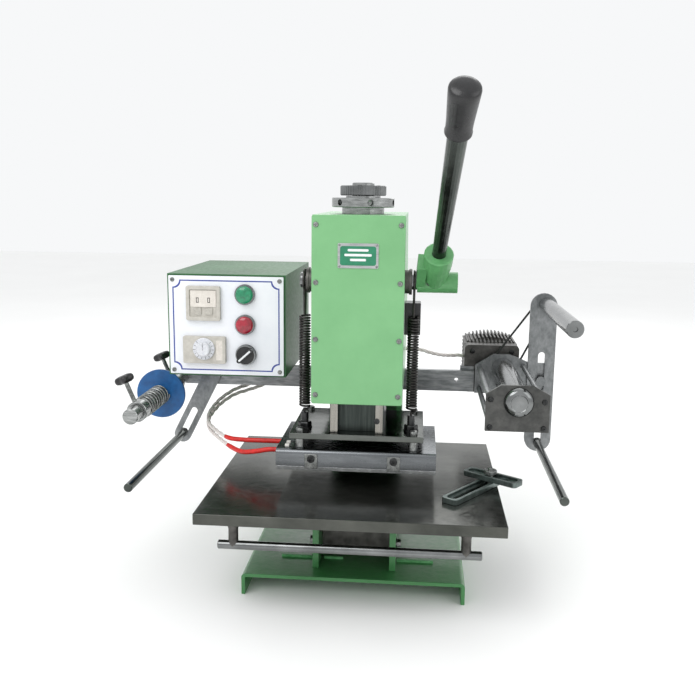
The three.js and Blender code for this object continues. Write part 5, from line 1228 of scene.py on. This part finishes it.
corner_screws = [(x, shift.y - 60 * mm, z) for x,
                 z in ((shift.x + 172 * mm, 259 * mm), (shift.x + 241 * mm, 257 * mm),
                                                        (shift.x + 172 * mm, 222 * mm),
                                                        (shift.x + 241 * mm, 222 * mm))]
pan_screws("feed_plate_screws", corner_screws, 3.8 * mm, (0, -1, 0), blackened_steel, "frame")
# Die-cast aluminium gearbox with ribs, natural finish.
cast_aluminium = surface("die_cast_aluminium", "#63615F", "#454442", 9 * mm, (0.36, 0.52), 0.9, bump=0.1,
                         fine=5.0)
x0, x1, y0, y1, z0, z1 = span("gear_motor")
GEARBOX_DEPTH, FIN_PITCH, FIN_THICK, FIN_DEPTH = 26 * mm, 6 * mm, 2.4 * mm, 8 * mm
motor = bmesh.new()
motor_facing = to_front((0, y0 + GEARBOX_DEPTH, 0))
prism(motor, smooth_box(x0, x1, z0, z1 - 9 * mm, 7 * mm), 0, GEARBOX_DEPTH, motor_facing)
slab(motor, x0 + FIN_DEPTH, x1 - FIN_DEPTH, y0 + GEARBOX_DEPTH - 1 * mm, y1, z0 + FIN_DEPTH, z1 - FIN_DEPTH)
half_span = (x1 - x0) / 2
fin_x = x0 + FIN_PITCH
while fin_x < x1 - FIN_PITCH / 2:
    drop = 9 * mm * ((fin_x - x0 - half_span) / half_span) ** 2
    slab(motor, fin_x - FIN_THICK / 2, fin_x + FIN_THICK / 2, y0 + GEARBOX_DEPTH - 1 * mm, y1 - 1 * mm,
         z0 + drop, z1 - drop)
    fin_x += FIN_PITCH
fin_z = z0 + 2 * FIN_PITCH
while fin_z < z1 - 2 * FIN_PITCH:
    slab(motor, x0 + 1 * mm, x1 - 1 * mm, y0 + GEARBOX_DEPTH - 1 * mm, y1 - 1.5 * mm, fin_z - FIN_THICK / 2,
         fin_z + FIN_THICK / 2)
    fin_z += FIN_PITCH
piece("gear_motor_finned", motor, cast_aluminium, "frame", ["gear_motor"], 0.4 * mm)
face_screws = [(x, y0, z1 - 19 * mm) for x in (x0 + 12 * mm, x1 - 12 * mm)]
pan_screws("gear_motor_screws", face_screws, 4 * mm, (0, -1, 0), blackened_steel, "frame")
# Limit switch housing: black glass-filled nylon.
x0, x1, y0, y1, z0, z1 = span("feed_switch")
switch = bmesh.new()
slab(switch, x0, x1, y0, y1, z0, z1)
piece("feed_switch_housing", switch, black_moulding, "frame", ["feed_switch"], 1.2 * mm)
tag = bmesh.new()
tag_facing = Matrix.Translation((x1, (y0 + y1) / 2, (z0 + z1) / 2)) @ Matrix.Rotation(math.pi / 2, 4, "Y")
prism(tag, smooth_box(-9 * mm, 9 * mm, -8 * mm, 8 * mm, 1 * mm), -0.2 * mm, 0, tag_facing)
piece("feed_switch_tag", tag, white_ink, "frame")

# ------------------------------------------------------------ floor and light
# A plain pale floor under the machine. One large soft light stands in front, above and to the left, a weaker
# one to the right and a third behind, and a pale studio wall lights everything evenly.
floor_paint = surface("pale_floor", "#FBFBFA", "#F8F8F7", 400 * mm, (0.6, 0.7), bump=0.0)
ground = bpy.data.meshes.new("floor")
FLOOR_SIZE = 6
floor_shape = bmesh.new()
slab(floor_shape, -FLOOR_SIZE, FLOOR_SIZE, -FLOOR_SIZE, FLOOR_SIZE, -0.02, 0)
floor_shape.to_mesh(ground)
floor_shape.free()
ground.materials.append(floor_paint)
floor = bpy.data.objects.new("floor", ground)
bpy.context.scene.collection.objects.link(floor)
for name, spot, size, power in (("key", (-0.9, -1.3, 1.9), 1.5, 20), ("side", (1.6, -0.9, 1.2), 1.3, 6),
                                ("back", (0.2, 1.8, 1.7), 1.6, 12)):
    lamp = bpy.data.lights.new(name, "AREA")
    lamp.energy = power
    lamp.size = size
    lamp_object = bpy.data.objects.new(name, lamp)
    lamp_object.location = spot
    lamp_object.rotation_euler = (Vector((0, 0, 0.22)) - Vector(spot)).to_track_quat("-Z", "Y").to_euler()
    bpy.context.scene.collection.objects.link(lamp_object)
world = bpy.data.worlds.new("studio")
bpy.context.scene.world = world
world.use_nodes = True
world.node_tree.nodes["Background"].inputs["Color"].default_value = linear("#F7F8F9")
world.node_tree.nodes["Background"].inputs["Strength"].default_value = 1.0
